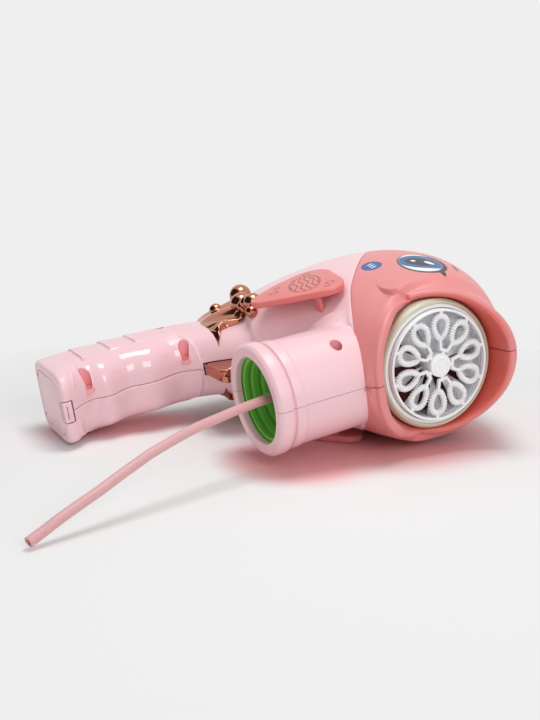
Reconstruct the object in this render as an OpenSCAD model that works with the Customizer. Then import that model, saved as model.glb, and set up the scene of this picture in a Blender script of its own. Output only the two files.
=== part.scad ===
// Bubble blower in the form of a fish: a pistol-shaped toy with a bottle socket under
// the head, a turning wheel of bubble loops in the mouth and batteries in the handle.
// It lies on its left side with the mouth towards -Y and the handle towards -X.
// The pieces are drawn upright about the hub of the wheel (x forward, y left, z up)
// and laid down together by lie_down().

/* [Head] */
// Full width of the head across the cheeks
head_w = 89; // [86:0.5:92]
// Height of the crown above the wheel axis
crown_h = 57.5; // [54:0.5:62]
// Depth of the chin below the wheel axis
chin_h = 42; // [41:0.5:44]
// Reach of the upper lip in front of the wheel
lip_reach = 11; // [8:0.5:14]
// Thickness of the upper lip
lip_t = 4; // [3:0.25:5]
// Wall of the moulded shells
shell_wall = 2.2; // [1.8:0.1:2.6]
// Gap along the seam between mask and shell
seam_gap = 0.3; // [0.2:0.05:0.6]

/* [Handle] */
// Full width of the handle
grip_w = 37; // [36:0.5:42]
// Distance from the wheel to the back of the handle
grip_back = 134; // [132:0.5:138]
// Depth of the handle from front to back
grip_depth = 39; // [38:0.5:42]
// Distance from the wheel axis to the end of the handle
grip_end = 156; // [154:0.5:165]
// Depth of the waves for the fingers
finger_wave = 3; // [1:0.25:3.5]

/* [Bottle socket] */
// Distance from the wheel back to the socket axis
socket_back = 23; // [22:0.5:24]
// Outside diameter of the socket rim
socket_d = 52; // [50:0.5:54]
// Distance from the wheel axis to the end of the socket
socket_end = 84; // [80:0.5:90]
// Bore of the green collar that takes the bottle neck
neck_bore = 36.4; // [34:0.2:37]
// Depth of that bore
neck_depth = 22; // [18:0.5:24]

/* [Bubble wheel] */
// Radius to the outer ends of the loops
wheel_r = 24.2; // [22:0.1:24.4]
// Number of forked arms, each with two loops
arms = 5; // [4:1:6]
// Thickness of the rod that the loops are made of
loop_rod = 3; // [2.4:0.1:3.2]
// Ribs round one loop
loop_ribs = 18; // [10:1:20]
// Diameter of the wheel's hub
hub_d = 11; // [9:0.5:12]
// Diameter of the wheel shaft
shaft_d = 3; // [2.5:0.1:4]

/* [Light ring] */
// Outside diameter of the light ring
light_d = 61; // [60:0.5:62]
// Outside diameter of the white ring inside it
guide_d = 52.2; // [51.6:0.2:53]
// Number of fixed vanes behind the wheel
vanes = 10; // [6:1:14]

/* [Gear train] */
// Module of the gear teeth
gear_module = 0.8; // [0.8:0.05:0.85]
// Teeth on the wheel gear
wheel_teeth = 32; // [28:4:32]
// Teeth on the small side of the idler
idler_small = 16; // [14:2:16]
// Teeth on the large side of the idler
idler_large = 40; // [40:2:42]
// Teeth on the motor pinion
pinion_teeth = 10; // [10:1:12]
// Width of a gear rim
gear_w = 3; // [2:0.25:3]

/* [Blower] */
// Radius of the fan rotor
fan_r = 19; // [16:0.5:20]
// Half width of the fan rotor
fan_half = 7; // [5:0.5:7]
// Blades on the fan rotor
fan_blades = 12; // [8:1:16]
// Length of a motor can
motor_l = 25; // [20:0.5:26]
// Diameter of a motor can
motor_d = 20; // [18:0.5:20]

/* [Batteries] */
// Diameter of one cell
cell_d = 14.2; // [14:0.1:14.5]
// Length of one cell over its button
cell_l = 50.5; // [48:0.5:51]
// Travel of the trigger
trigger_travel = 5; // [3:0.5:6]
// Width of the trigger
trigger_w = 11; // [9:0.5:12]

/* [Fins and hose] */
// Thickness of a fin
fin_t = 3.2; // [1.8:0.2:4]
// Outside diameter of the suction hose
hose_d = 4.2; // [3.6:0.2:4.8]

/* [Fits] */
// Running clearance round a shaft, on the radius
run_gap = 0.05; // [0.02:0.01:0.1]
// Clearance between seated pieces
seat_gap = 0.2; // [0.15:0.05:0.3]

/* [Hidden] */
$fn = 48;

// Colours of the moulded pieces
pink = [0.97, 0.76, 0.79];
coral = [0.93, 0.55, 0.52];
rose_gold = [0.78, 0.48, 0.36];
white = [0.95, 0.95, 0.96];
cream = [0.94, 0.92, 0.82];
green = [0.15, 0.55, 0.12];
steel = [0.75, 0.76, 0.78];
grey = [0.6, 0.62, 0.65];
black = [0.12, 0.12, 0.13];

// The lying pose: tilt about the forward axis and place of the hub above the table
lie_tilt = 9.08;
hub_at = [49.7, -64.8, head_w / 2 - 1.2];

// Loft sections of head, neck and handle. Each row gives the belly point (x, z), the back
// point (x, z), the half width, where between them the section is widest, and how square
// its belly and back halves are.
head_half = head_w / 2;
grip_half = grip_w / 2;
grip_front = grip_back - grip_depth;
foot = grip_end - 156;
SECTIONS = [
    [4, -chin_h + 2, 4, crown_h - 19.5, head_half - 9.5, 0.5, 2, 2],
    [-6, -chin_h, -6, crown_h - 15, head_half - 6, 0.55, 2.05, 2.05],
    [-20, -chin_h - 2, -24, crown_h - 6, head_half - 3, 0.58, 2.1, 2.1],
    [-38, -chin_h - 4, -50, crown_h, head_half - 0.6, 0.6, 2.1, 2.1],
    [-50, -chin_h - 6.5, -78, crown_h - 4.5, head_half, 0.6, 2.1, 2.1],
    [-57, -chin_h - 9, -103, crown_h - 21, head_half - 2, 0.58, 2.1, 2.1],
    [-61, -chin_h - 12, 15 - grip_back, 11, head_half - 6, 0.55, 2.1, 2.1],
    [-64, -chin_h - 15, 5 - grip_back, -17, head_half - 11, 0.52, 2.1, 2.1],
    [-66, -chin_h - 18, 2 - grip_back, -37, grip_half + 9, 0.5, 2.2, 2.3],
    [-69, -chin_h - 20, 1.5 - grip_back, -42, grip_half + 2, 0.5, 2.4, 2.8],
    [-82, -70, 1 - grip_back, -62, grip_half, 0.5, 2.5, 4],
    [-93, -80, 0.5 - grip_back, -78, grip_half, 0.5, 2.6, 6],
    [-grip_front - finger_wave, -91, 0.5 - grip_back, -91, grip_half, 0.5, 2.8, 7],
    [-grip_front + finger_wave / 3, -105 - foot / 2, -grip_back, -105 - foot / 2, grip_half, 0.5, 2.8, 7],
    [-grip_front - finger_wave / 5, -119 - foot, -grip_back, -119 - foot, grip_half, 0.5, 2.8, 7],
    [-grip_front + finger_wave * 1.6, -130 - foot, 0.5 - grip_back, -130 - foot, grip_half, 0.5, 2.8, 7],
    [-grip_front + finger_wave, -138 - foot, 1 - grip_back, -138 - foot, grip_half, 0.5, 3, 7],
    [-grip_front + finger_wave * 2.2, -145 - foot, 1.5 - grip_back, -145 - foot, grip_half, 0.5, 3.5, 7],
    [13 - grip_front, -151 - foot, 2 - grip_back, -151 - foot, grip_half, 0.5, 4.5, 7],
    [14 - grip_front, -grip_end, 3 - grip_back, -grip_end, grip_half - 0.4, 0.5, 4.5, 7]];
last_section = len(SECTIONS) - 1;
around = 16;
along = 30;

// Section number of the seam and of the lip's root, every 30 degrees from crown to chin
SEAM = [4.1, 4.2, 4.3, 4.2, 2.9, 1.1, 0.4];
LIP_ROOT = [0.7, 0.75, 0.95, 1.25, 1.2, 0.5, 0.15];
// Front edge of the lips, every 15 degrees from crown to chin: reach and radius
LIP_EDGE = [[lip_reach, 36.3], [lip_reach - 0.2, 35.6], [lip_reach - 1.5, 34.8], [lip_reach - 4.5, 34.4],
    [3, 34.2], [0, 34], [-3.5, 33.8], [-6, 33.8], [-3, 36.2], [2, 37.4], [5, 38], [6.5, 37.6], [7, 37]];
mouth_r = light_d / 2 + seat_gap;
mouth_floor = -6;

// Smooth curve through a list of numbers or points, taken at a fractional index
function blend(a, b, c, d, t) =
    b + (c - a) * (t / 2) + (2 * a - 5 * b + 4 * c - d) * (t * t / 2) + (3 * b - a - 3 * c + d) * (t * t * t / 2);
function along_list(list, s) =
    let (n = len(list) - 1, i = max(0, min(floor(s), n - 1)))
    blend(list[max(i - 1, 0)], list[i], list[i + 1], list[min(i + 2, n)], s - i);
function smooth_route(points, steps) =
    [for (i = [0 : (len(points) - 1) * steps]) along_list(points, i / steps)];
function unit(v) = v / norm(v);
function mix(a, b, t) = a + (b - a) * t;
function clamp(v, low, high) = max(low, min(high, v));

// Point of the moulded skin at section s and angle phi, sunk by inset (right side, y < 0)
function skin(s, phi, inset) =
    let (q = along_list(SECTIONS, s),
        belly = [q[0], q[1]], back = [q[2], q[3]], mid = mix(belly, back, q[5]), u = unit(back - belly),
        reach = cos(phi) > 0 ? norm(back - mid) : norm(belly - mid), p = 2 / (cos(phi) > 0 ? q[7] : q[6]),
        a = (reach - inset) * sign(cos(phi)) * pow(abs(cos(phi)), p),
        b = (q[4] - inset) * pow(abs(sin(phi)), p))
    [mid[0] + u[0] * a, -b, mid[1] + u[1] * a];

// Closed wall swept from crown to belly: each ring runs along the outside and back along the inside
function wall_faces(rings, outer, inner) =
    let (m = outer + inner)
    concat(
        [for (j = [0 : rings - 2]) for (i = [0 : m - 1]) let (k = (i + 1) % m)
            each [[j * m + i, (j + 1) * m + i, (j + 1) * m + k], [j * m + i, (j + 1) * m + k, j * m + k]]],
        [for (e = [0, rings - 1]) for (k = [0 : outer - 2])
            let (o = e * m, c = m - 1 - min(k + 1, inner - 1), d = m - 1 - min(k, inner - 1),
                first = [o + k, o + k + 1, o + c], second = [o + k, o + c, o + d])
            each [for (f = c == d ? [first] : [first, second]) e == 0 ? f : [f[2], f[1], f[0]]]]);

module wall_loft(rings, outer, inner) {
    polyhedron([for (r = rings) each r], wall_faces(len(rings), outer, inner));
}

// Round rod along a route; radii is one number per point
function rod_rings(route, radii, sides, ref, closed) =
    let (n = len(route))
    [for (i = [0 : n - 1])
        let (next = closed ? (i + 1) % n : min(i + 1, n - 1), prev = closed ? (i + n - 1) % n : max(i - 1, 0),
            t = unit(route[next] - route[prev]), a = unit(cross(t, ref)), b = cross(a, t))
        [for (k = [0 : sides - 1]) route[i] + radii[i] * (a * cos(360 * k / sides) + b * sin(360 * k / sides))]];

module rod(route, radii, sides, ref, closed = false) {
    rings = rod_rings(route, radii, sides, ref, closed);
    n = len(rings);
    bands = closed ? n - 1 : n - 2;
    polyhedron([for (r = rings) each r], concat(
        [for (j = [0 : bands]) for (k = [0 : sides - 1])
            let (e = ((j + 1) % n) * sides, o = j * sides, l = (k + 1) % sides)
            each [[o + k, e + l, e + k], [o + k, o + l, e + l]]],
        closed ? [] : [for (k = [1 : sides - 2]) each [[0, k + 1, k],
            [(n - 1) * sides, (n - 1) * sides + k, (n - 1) * sides + k + 1]]]));
}

module lie_down() {
    translate(hub_at) rotate([0, -lie_tilt, 0]) rotate([-90, 0, -90]) children();
}

// Turns a shape drawn in (y, z) so that its height runs forward from x
module forward_from(x) {
    translate([x, 0, 0]) rotate([90, 0, 90]) children();
}

// Turns a shape drawn in (x, z) so that its height runs to the right from y
module right_from(y) {
    translate([0, y, 0]) rotate([90, 0, 0]) children();
}

// Turns a shape so that its height runs to the left from y
module left_from(y) {
    translate([0, y, 0]) rotate([-90, 0, 0]) children();
}

// Ends of the cells between the door and the sprung contacts
door_t = 2.4;
contact_t = 0.6;
cell_low = -grip_end + door_t + contact_t + 0.2;
cell_top = cell_low + cell_l;
contact_spring_l = 3.6;
box_low = cell_top + contact_spring_l + 0.2;
box_t = 2;
screw_rise = box_low + box_t + 3.5;

// Screws that close the case: x, z and the height of the boss, which ends in the wall.
// The last two sit at the bottom of tubes. Those in the grip stay above the battery box.
well_d = 6.4;
boss_d = 4.8;
screw_d = 2.6;
screw_head_d = 5.4;
screw_floor = 5;
screw_grip = 6;
SCREWS = [[1.6 - grip_front, -140 - foot, screw_grip], [-99, max(-86, screw_rise), screw_grip],
    [14 - socket_back, -chin_h - 5, 17.6], [6.5 - grip_back, max(-88, screw_rise), grip_half - 1.2]];

module screw_bosses() {
    for (q = SCREWS) translate([q[0], 0, q[1]]) right_from(0) cylinder(d = boss_d, h = q[2]);
}

module screw_tube(q) {
    translate([q[0], 0, q[1]]) right_from(1 - screw_floor) cylinder(d = well_d + 2.4, h = q[2] + screw_floor);
}

module screw_tubes() {
    intersection() {
        screw_tube(SCREWS[2]);
        translate([-socket_back, 0, -socket_end]) cylinder(r = tube_r - 0.8, h = socket_end);
    }
    intersection() {
        screw_tube(SCREWS[3]);
        translate([-200, 1.2 - grip_half, -200]) cube([200, grip_half, 200]);
    }
}

// Socket: collar seat inside, rim and two bands outside
socket_r = socket_d / 2;
tube_r = socket_r - 1.7;
collar_r = neck_bore / 2 + 3.4;
socket_bore = collar_r + seat_gap;
rim_h = 7;
rim_lip = 4;
band_h = 5.5;
groove_h = 1.5;
socket_top = chin_h + 1;

module socket_outside() {
    translate([-socket_back, 0, -socket_end]) {
        cylinder(r = socket_r, h = rim_h);
        cylinder(r = tube_r - 0.6, h = rim_h + groove_h + 0.5);
        translate([0, 0, rim_h + groove_h]) cylinder(r = tube_r + 0.6, h = band_h);
        translate([0, 0, rim_h + groove_h]) cylinder(r = tube_r, h = socket_end - socket_top - rim_h - groove_h);
    }
}

module socket_inside() {
    translate([-socket_back, 0, -socket_end - 1]) cylinder(r = socket_bore - 1.8, h = socket_end);
    translate([-socket_back, 0, -socket_end + rim_lip]) cylinder(r = socket_bore, h = socket_end - rim_lip - chin_h + 8);
}

// Half of the pink case: skin, socket half, screw bosses and the cut-outs of the real moulding
function shell_ring(phi) =
    let (front = along_list(SEAM, phi / 30), thicker = rim_wall - shell_wall)
    concat(
        [for (k = [0 : along]) skin(mix(front, last_section, k / along), phi, 0)],
        [for (k = [along : -1 : 0])
            let (s = mix(front, last_section, k / along))
            skin(s, phi, shell_wall + thicker * clamp((s - last_section + 0.75) / 0.65, 0, 1))]);

module half_skin() {
    wall_loft([for (j = [0 : around]) shell_ring(180 * j / around)], along + 1, along + 1);
}

module half_socket() {
    intersection() {
        socket_outside();
        translate([-100, -100, -200]) cube([200, 100, 200]);
    }
}

slot_half = trigger_w / 2 + 0.4;
trigger_low = -79;
trigger_high = -64;

module trigger_slot() {
    translate([-106, -slot_half, trigger_low - 0.4]) cube([50, 2 * slot_half, trigger_high - trigger_low + 0.8]);
}

vent_d = 2.6;
VENTS = [[-58, 30], [-66, 27], [-74, 23], [-82, 18]];

module vent_holes() {
    for (v = VENTS) translate([v[0], -20, v[1]]) right_from(0) cylinder(d = vent_d, h = 40);
}

latch_w = 10;
latch_h = 9;
rim_wall = shell_wall + 1.8;
foot_front = 14 - grip_front;

module latch_notch() {
    translate([foot_front - rim_wall - 0.6, -latch_w / 2 - seat_gap, -grip_end - 1])
        cube([10, latch_w + 2 * seat_gap, latch_h + 1 + seat_gap]);
}

// Hinge line of the battery door across the rear of the handle's end
hinge_r = 1.4;
hinge_x = 3 - grip_back + rim_wall + hinge_r + 0.3;
hinge_z = -grip_end + hinge_r;
pin_d = 2;
pin_reach = grip_half - 2.2;

module hinge_sockets() {
    translate([hinge_x, -pin_reach - 0.3, hinge_z]) left_from(0) cylinder(d = pin_d + 2 * run_gap, h = 2 * pin_reach + 0.6);
}

groove_w = 1;
groove_deep = 0.7;
GRIP_GROOVES = [-107.5, -121.5, -137.5];

module panel_grooves() {
    for (z = GRIP_GROOVES)
        translate([-grip_back - 2, -grip_half - 5, z - foot]) cube([29, 5 + groove_deep, groove_w]);
}

module shell_cuts() {
    socket_inside();
    trigger_slot();
    vent_holes();
    latch_notch();
    hinge_sockets();
    panel_grooves();
}

module right_shell() {
    color(pink) lie_down() difference() {
        union() {
            difference() {
                union() {
                    half_skin();
                    half_socket();
                }
                shell_cuts();
            }
            screw_bosses();
            screw_tubes();
        }
        for (q = SCREWS) translate([q[0], 0, q[1]]) {
            right_from(-screw_floor) cylinder(d = well_d, h = 60);
            right_from(1) cylinder(d = screw_d + 0.6, h = 40);
        }
    }
}

// Switch behind the trigger, and the post that backs the trigger's spring
switch_size = [13, 6, 9];
switch_at = [-117, -69];
trigger_rear = -104;
spring_z = -76.5;
spring_l = 10;
post_t = 2;

module inner_posts() {
    translate([switch_at[0] - 5, switch_size[1] / 2, switch_at[1] - 3])
        cube([10, grip_half - switch_size[1] / 2 - 1, 6]);
    translate([trigger_rear - spring_l - post_t, -3, spring_z - 2]) cube([post_t, grip_half + 2, 4]);
}

module left_shell() {
    color(pink) lie_down() difference() {
        union() {
            mirror([0, 1, 0]) difference() {
                union() {
                    half_skin();
                    half_socket();
                }
                shell_cuts();
            }
            mirror([0, 1, 0]) screw_bosses();
            inner_posts();
        }
        for (q = SCREWS) translate([q[0], 0, q[1]]) left_from(-1) cylinder(d = screw_d + 2 * run_gap, h = screw_grip + 1.5);
    }
}

// Half of the coral mask: skin from the seam to the lips, then the wall of the mouth
face_steps = 6;
function lip_points(phi) =
    let (e = along_list(LIP_EDGE, phi / 15), reach = e[0], r = e[1],
        inner = max(r - lip_t, mouth_r + 0.4), floor_x = min(mouth_floor, reach - 4.5))
    [[reach - 2, r + 0.9], [reach, r - 0.8], [reach - 1.2, inner], [floor_x, mouth_r]];

function face_ring(phi) =
    let (seam = along_list(SEAM, phi / 30) - seam_gap / 18, root = along_list(LIP_ROOT, phi / 30))
    concat(
        [for (k = [0 : face_steps]) skin(mix(seam, root, k / face_steps), phi, 0)],
        [for (p = lip_points(phi)) [p[0], -p[1] * sin(phi), p[1] * cos(phi)]],
        [for (k = [face_steps : -1 : 0]) skin(mix(seam, root + 0.15, k / face_steps), phi, shell_wall)]);

module half_face() {
    wall_loft([for (j = [18 : -1 : 0]) face_ring(10 * j)], face_steps + 5, face_steps + 1);
}

module right_face() {
    color(coral) lie_down() half_face();
}

module left_face() {
    color(coral) lie_down() mirror([0, 1, 0]) half_face();
}

// Solid of the case's outside between two sections, grown by a gap, that pieces on it are cut by
module case_solid(first, last, steps, gap) {
    sides = 32;
    rings = [for (j = [0 : steps]) let (s = mix(first, last, j / steps))
        [for (k = [0 : sides - 1]) let (phi = 360 * k / sides, q = skin(s, phi > 180 ? 360 - phi : phi, -gap))
            [q[0], phi > 180 ? -q[1] : q[1], q[2]]]];
    polyhedron([for (r = rings) each r], concat(
        [for (j = [0 : steps - 1]) for (k = [0 : sides - 1])
            let (o = j * sides, e = o + sides, l = (k + 1) % sides)
            each [[o + k, e + l, e + k], [o + k, o + l, e + l]]],
        [for (k = [1 : sides - 2]) each [[0, k + 1, k],
            [steps * sides, steps * sides + k, steps * sides + k + 1]]]));
}

// Middle of the case, so that a cut by the case leaves nothing inside it
module case_core(first, last) {
    hull() for (s = [first, last]) for (phi = [0, 60, 120, 180]) for (m = [0, 1]) mirror([0, m, 0])
        translate(skin(s, phi, 12)) cube(1, center = true);
}

// Leaf-shaped fins whose outer faces lean as the table does under the lying toy
table_y = hub_at[2] / cos(lie_tilt);
fin_round = 0.6;
FIN_STUB = [-43, -36];

module fin_outline() {
    hull() {
        translate([-66, -28]) circle(r = 12.5, $fn = 40);
        translate([-46, -28]) circle(r = 8, $fn = 32);
        translate([-41, -30]) circle(r = 7, $fn = 32);
        translate([-66, -39]) circle(r = 11.5, $fn = 32);
        translate([-64.5, -52.5]) circle(r = 8, $fn = 32);
    }
}

module fin() {
    difference() {
        translate([0, table_y, 0]) rotate([-lie_tilt, 0, 0]) union() {
            left_from(-fin_t) mirror([0, 1, 0]) hull() {
                linear_extrude(fin_t - fin_round) fin_outline();
                linear_extrude(fin_t) offset(delta = -fin_round) fin_outline();
            }
            translate([FIN_STUB[0] - 3.5, -fin_t - 14, FIN_STUB[1] - 1.5]) cube([7, 14.5, 3]);
        }
        case_solid(2, 7, 10, seat_gap);
        case_core(2, 7);
    }
}

module right_fin() {
    color(coral) lie_down() mirror([0, 1, 0]) fin();
}

module left_fin() {
    color(coral) lie_down() fin();
}

// Plated ornament: a saddle over the back of the neck with a pointed tip on each side and round drops
splash_t = 2.6;
SPLASH_TOP = [8.75, 8.75, 8.75, 8.7, 8.7, 8.95, 9.8, 10.2];
SPLASH_FOOT = [10.2, 10.2, 10.25, 10.3, 10.35, 10.4, 10.4, 10.26];
splash_span = 140;
splash_steps = 14;
// Drops: section, angle from the back and radius
DROPS = [[8.75, 52, 6], [8.85, 76, 5], [9.6, 60, 3.5], [8.9, 97, 4.2], [8.95, 104, 2.8], [8.7, 20, 5], [9.5, 30, 4]];

function splash_ring(angle) =
    let (phi = abs(angle), top = along_list(SPLASH_TOP, phi / 20), low = along_list(SPLASH_FOOT, phi / 20), mirrored = angle < 0 ? -1 : 1,
        pts = concat(
            [for (k = [0 : 6]) skin(mix(top, low, k / 6), phi, -seat_gap - splash_t * (0.35 + 0.65 * sin(30 * k)))],
            [for (k = [6 : -1 : 0]) skin(mix(top, low, k / 6), phi, -seat_gap)]))
    [for (q = pts) [q[0], mirrored * q[1], q[2]]];

module tail_splash() {
    color(rose_gold) lie_down() difference() {
        union() {
            wall_loft([for (j = [-splash_steps : splash_steps]) splash_ring(splash_span * j / splash_steps)], 7, 7);
            for (d = DROPS) for (m = [0, 1]) mirror([0, m, 0])
                translate(skin(d[0], d[1], -d[2] - seat_gap)) sphere(r = d[2], $fn = 32);
        }
        case_solid(6.5, 11, 14, seat_gap);
    }
}

// Trigger: slides back along x into the handle, against its spring
trigger_tip = -68.5;
trigger_gap = 0.4;
flange_x = -95.5;

module trigger() {
    color(rose_gold) lie_down() {
        difference() {
            right_from(trigger_w / 2) linear_extrude(trigger_w) polygon([
                [trigger_rear, trigger_high], [trigger_tip - 4, trigger_high], [trigger_tip, trigger_high - 4],
                [trigger_tip - 1, trigger_low + 2.5], [trigger_tip - 4, trigger_low], [trigger_rear, trigger_low]]);
            translate([trigger_tip + 8.4, 0, (trigger_high + trigger_low) / 2 - 0.5])
                rotate([90, 0, 0]) cylinder(r = 10, h = trigger_w + 2, center = true);
        }
        translate([trigger_rear, -trigger_w / 2 - 2.5, trigger_low + 2])
            cube([flange_x - trigger_rear, trigger_w + 5, trigger_high - trigger_low - 4]);
    }
}

module coil(base, axis, side, r0, r1, length, turns, wire) {
    steps = 8 * turns;
    up = cross(axis, side);
    route = [for (i = [0 : steps]) let (t = i / steps, a = 360 * turns * t, r = mix(r0, r1, t))
        base + axis * (wire / 2 + (length - wire) * t) + side * (r * cos(a)) + up * (r * sin(a))];
    rod(route, [for (i = [0 : steps]) wire / 2], 6, axis);
}

spring_wire = 0.7;

module trigger_spring() {
    color(steel) lie_down()
        coil([trigger_rear - spring_l, 0, spring_z], [1, 0, 0], [0, 1, 0], 1.7, 1.7, spring_l, 5, spring_wire);
}

module trigger_switch() {
    color(black) lie_down() {
        translate([switch_at[0] - switch_size[0] / 2, -switch_size[1] / 2, switch_at[1] - switch_size[2] / 2])
            cube(switch_size);
        translate([switch_at[0] + switch_size[0] / 2 - 0.5, -1.5, switch_at[1] - 1.5]) cube([1.6, 3, 3]);
    }
}

// Battery door: plate in the end of the handle, barrel and pins at the back, latch tab at the front
door_gap = 0.3;

door_heel = 1.7;
heel_half = grip_half - rim_wall - 5.7;

module door_outline() {
    pts = [for (k = [0 : 24]) skin(last_section, 7.5 * k, rim_wall + door_gap)];
    intersection() {
        polygon(concat([for (q = pts) [q[0], q[1]]], [for (k = [24 : -1 : 0]) [pts[k][0], -pts[k][1]]]));
        union() {
            translate([hinge_x + door_heel, -50]) square(100);
            translate([hinge_x, -heel_half]) square([door_heel + 1, 2 * heel_half]);
        }
    }
}

module battery_door() {
    barrel = grip_half - rim_wall - 5;
    color(pink) lie_down() {
        translate([0, 0, -grip_end]) linear_extrude(door_t) door_outline();
        translate([hinge_x, 0, hinge_z]) rotate([90, 0, 0]) cylinder(r = hinge_r, h = 2 * barrel, center = true);
        translate([hinge_x, 0, hinge_z]) rotate([90, 0, 0]) cylinder(d = pin_d, h = 2 * pin_reach, center = true);
        translate([foot_front - rim_wall - 3, -latch_w / 2, -grip_end]) cube([rim_wall + 2.9, latch_w, door_t]);
        translate([foot_front - 2.6, -latch_w / 2, -grip_end]) cube([2.5, latch_w, latch_h]);
    }
}

// Cells stand two by two in the handle between the door's contacts and the sprung ones
cell_pitch = cell_d + 0.2;
cells_x = 19.4 - grip_back;
button_d = 5;
button_h = 1;

module cell(i, j) {
    color(steel) lie_down() translate([cells_x + i * cell_pitch, j * cell_pitch, cell_low]) {
        cylinder(d = cell_d, h = cell_l - button_h);
        cylinder(d = button_d, h = cell_l);
    }
}

module battery_box() {
    color(black) lie_down() {
        translate([cells_x - cell_pitch + 0.6, -cell_pitch + 1.2, box_low])
            cube([2 * cell_pitch - 5.5, 2 * cell_pitch - 2.4, box_t]);
        translate([cells_x - cell_pitch + 4, -grip_half + shell_wall + door_gap, box_low])
            cube([cell_pitch - 4, grip_w - 2 * shell_wall - 2 * door_gap, box_t]);
        translate([cells_x, 0, cell_low]) cylinder(r = 2.6, h = box_low - cell_low + 0.5);
    }
}

module contact_springs() {
    color(steel) lie_down() for (i = [-0.5, 0.5]) for (j = [-0.5, 0.5])
        coil([cells_x + i * cell_pitch, j * cell_pitch, cell_top + 0.1], [0, 0, 1], [1, 0, 0], 2.6, 4.5,
            contact_spring_l, 2, 0.8);
}

module contact_plate() {
    back = hinge_x + hinge_r + 0.5;
    color(steel) lie_down() translate([back, -cell_pitch + 3, -grip_end + door_t])
        cube([cells_x + cell_pitch - 2 - back, 2 * cell_pitch - 6, contact_t]);
}

module circuit_board() {
    color(green) lie_down() {
        translate([cells_x - 12, -11, box_low + box_t]) cube([24, 22, 1.6]);
        translate([cells_x - 4, -4, box_low + box_t + 1]) cube([8, 8, 1.8]);
    }
}

// Light ring round the wheel, with the board of lamps behind it
light_r = light_d / 2;
light_back = -8;
light_front = -0.6;
guide_r = guide_d / 2;
light_bore = guide_r + seat_gap;
board_t = 1.6;

module light_ring() {
    mid = (light_r + light_bore) / 2;
    color(cream) lie_down() forward_from(0) rotate_extrude($fn = 96) polygon([
        [light_bore, light_back], [mid - 1.1, light_back], [mid - 1.1, light_back + 2], [mid + 1.1, light_back + 2],
        [mid + 1.1, light_back], [light_r, light_back], [light_r, light_front - 2.4], [light_r - 1, light_front - 0.8],
        [mid + 0.4, light_front], [light_bore, light_front - 1.2]]);
}

module led_board() {
    color(white) lie_down() {
        forward_from(light_back - board_t) difference() {
            cylinder(r = light_r - 0.3, h = board_t);
            translate([0, 0, -1]) cylinder(r = light_bore, h = board_t + 2);
        }
        for (k = [0 : 5]) rotate([60 * k + 30, 0, 0]) translate([0, 0, (light_r + light_bore) / 2])
            forward_from(light_back - 0.5) cylinder(d = 1.8, h = 1.8);
    }
}

// White ring with fixed vanes behind the wheel; its middle carries the wheel shaft
guide_wall = 1.2;
guide_back = -14;
guide_front = -2;
vane_t = 1.2;
feed_angle = 45;
feed_r = 28.3;
feed_x = -12;
spout_r = 0.9;

module air_guide() {
    color(white) lie_down() difference() {
        union() {
            forward_from(guide_back) difference() {
                cylinder(r = guide_r, h = guide_front - guide_back, $fn = 96);
                translate([0, 0, -1]) cylinder(r = guide_r - guide_wall, h = 40, $fn = 96);
            }
            forward_from(guide_back) cylinder(r = shaft_d / 2 + 3.5, h = 8.5);
            for (k = [0 : vanes - 1]) rotate([360 * (k + 0.5) / vanes, 0, 0])
                translate([guide_back + 1, -vane_t / 2, shaft_d / 2 + 2])
                cube([6.5, vane_t, guide_r - guide_wall / 2 - shaft_d / 2 - 2]);
        }
        forward_from(guide_back - 1) cylinder(d = shaft_d + 2 * run_gap, h = 20);
        rotate([feed_angle, 0, 0]) translate([feed_x, 0, guide_r - 3]) cylinder(r = spout_r + 0.1, h = 6);
    }
}

module feed_nozzle() {
    color(white) lie_down() rotate([feed_angle, 0, 0]) {
        translate([0, 0, feed_r]) forward_from(feed_x - 2.4) cylinder(r = feed_r - guide_r - seat_gap, h = 4.4);
        translate([feed_x, 0, guide_r - 2]) cylinder(r = spout_r, h = feed_r - guide_r + 2);
    }
}

// Wheel of bubble loops: hub, forked arms and ribbed loops
loop_in = 12.4;
loop_wide = 4.4;
hub_back = -4.5;
hub_front = 1.8;
// Angle at which the loops rest, so that they stand as seen
wheel_rest = 9;
arm_t = 1.8;
fork_r = 7.2;
rim_back = -1.5;
rim_front = 1.2;

module bar(a, b, w, t) {
    d = b - a;
    translate([0, a[0], a[1]]) rotate([atan2(d[1], d[0]), 0, 0]) translate([-t / 2, 0, -w / 2]) cube([t, norm(d), w]);
}

function polar(r, a) = [r * sin(a), r * cos(a)];

module bubble_loop(angle) {
    reach = (wheel_r - loop_rod / 2 - loop_in) / 2;
    n = 2 * loop_ribs;
    route = [for (i = [0 : n - 1]) let (t = 360 * i / n,
            p = loop_in + reach + reach * cos(t), q = loop_wide * sin(t) * (0.8 + 0.2 * cos(t)))
        [0, p * sin(angle) + q * cos(angle), p * cos(angle) - q * sin(angle)]];
    rod(route, [for (i = [0 : n - 1]) loop_rod / 2 * (i % 2 == 0 ? 1 : 0.8)], 6, [1, 0, 0], true);
}

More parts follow.
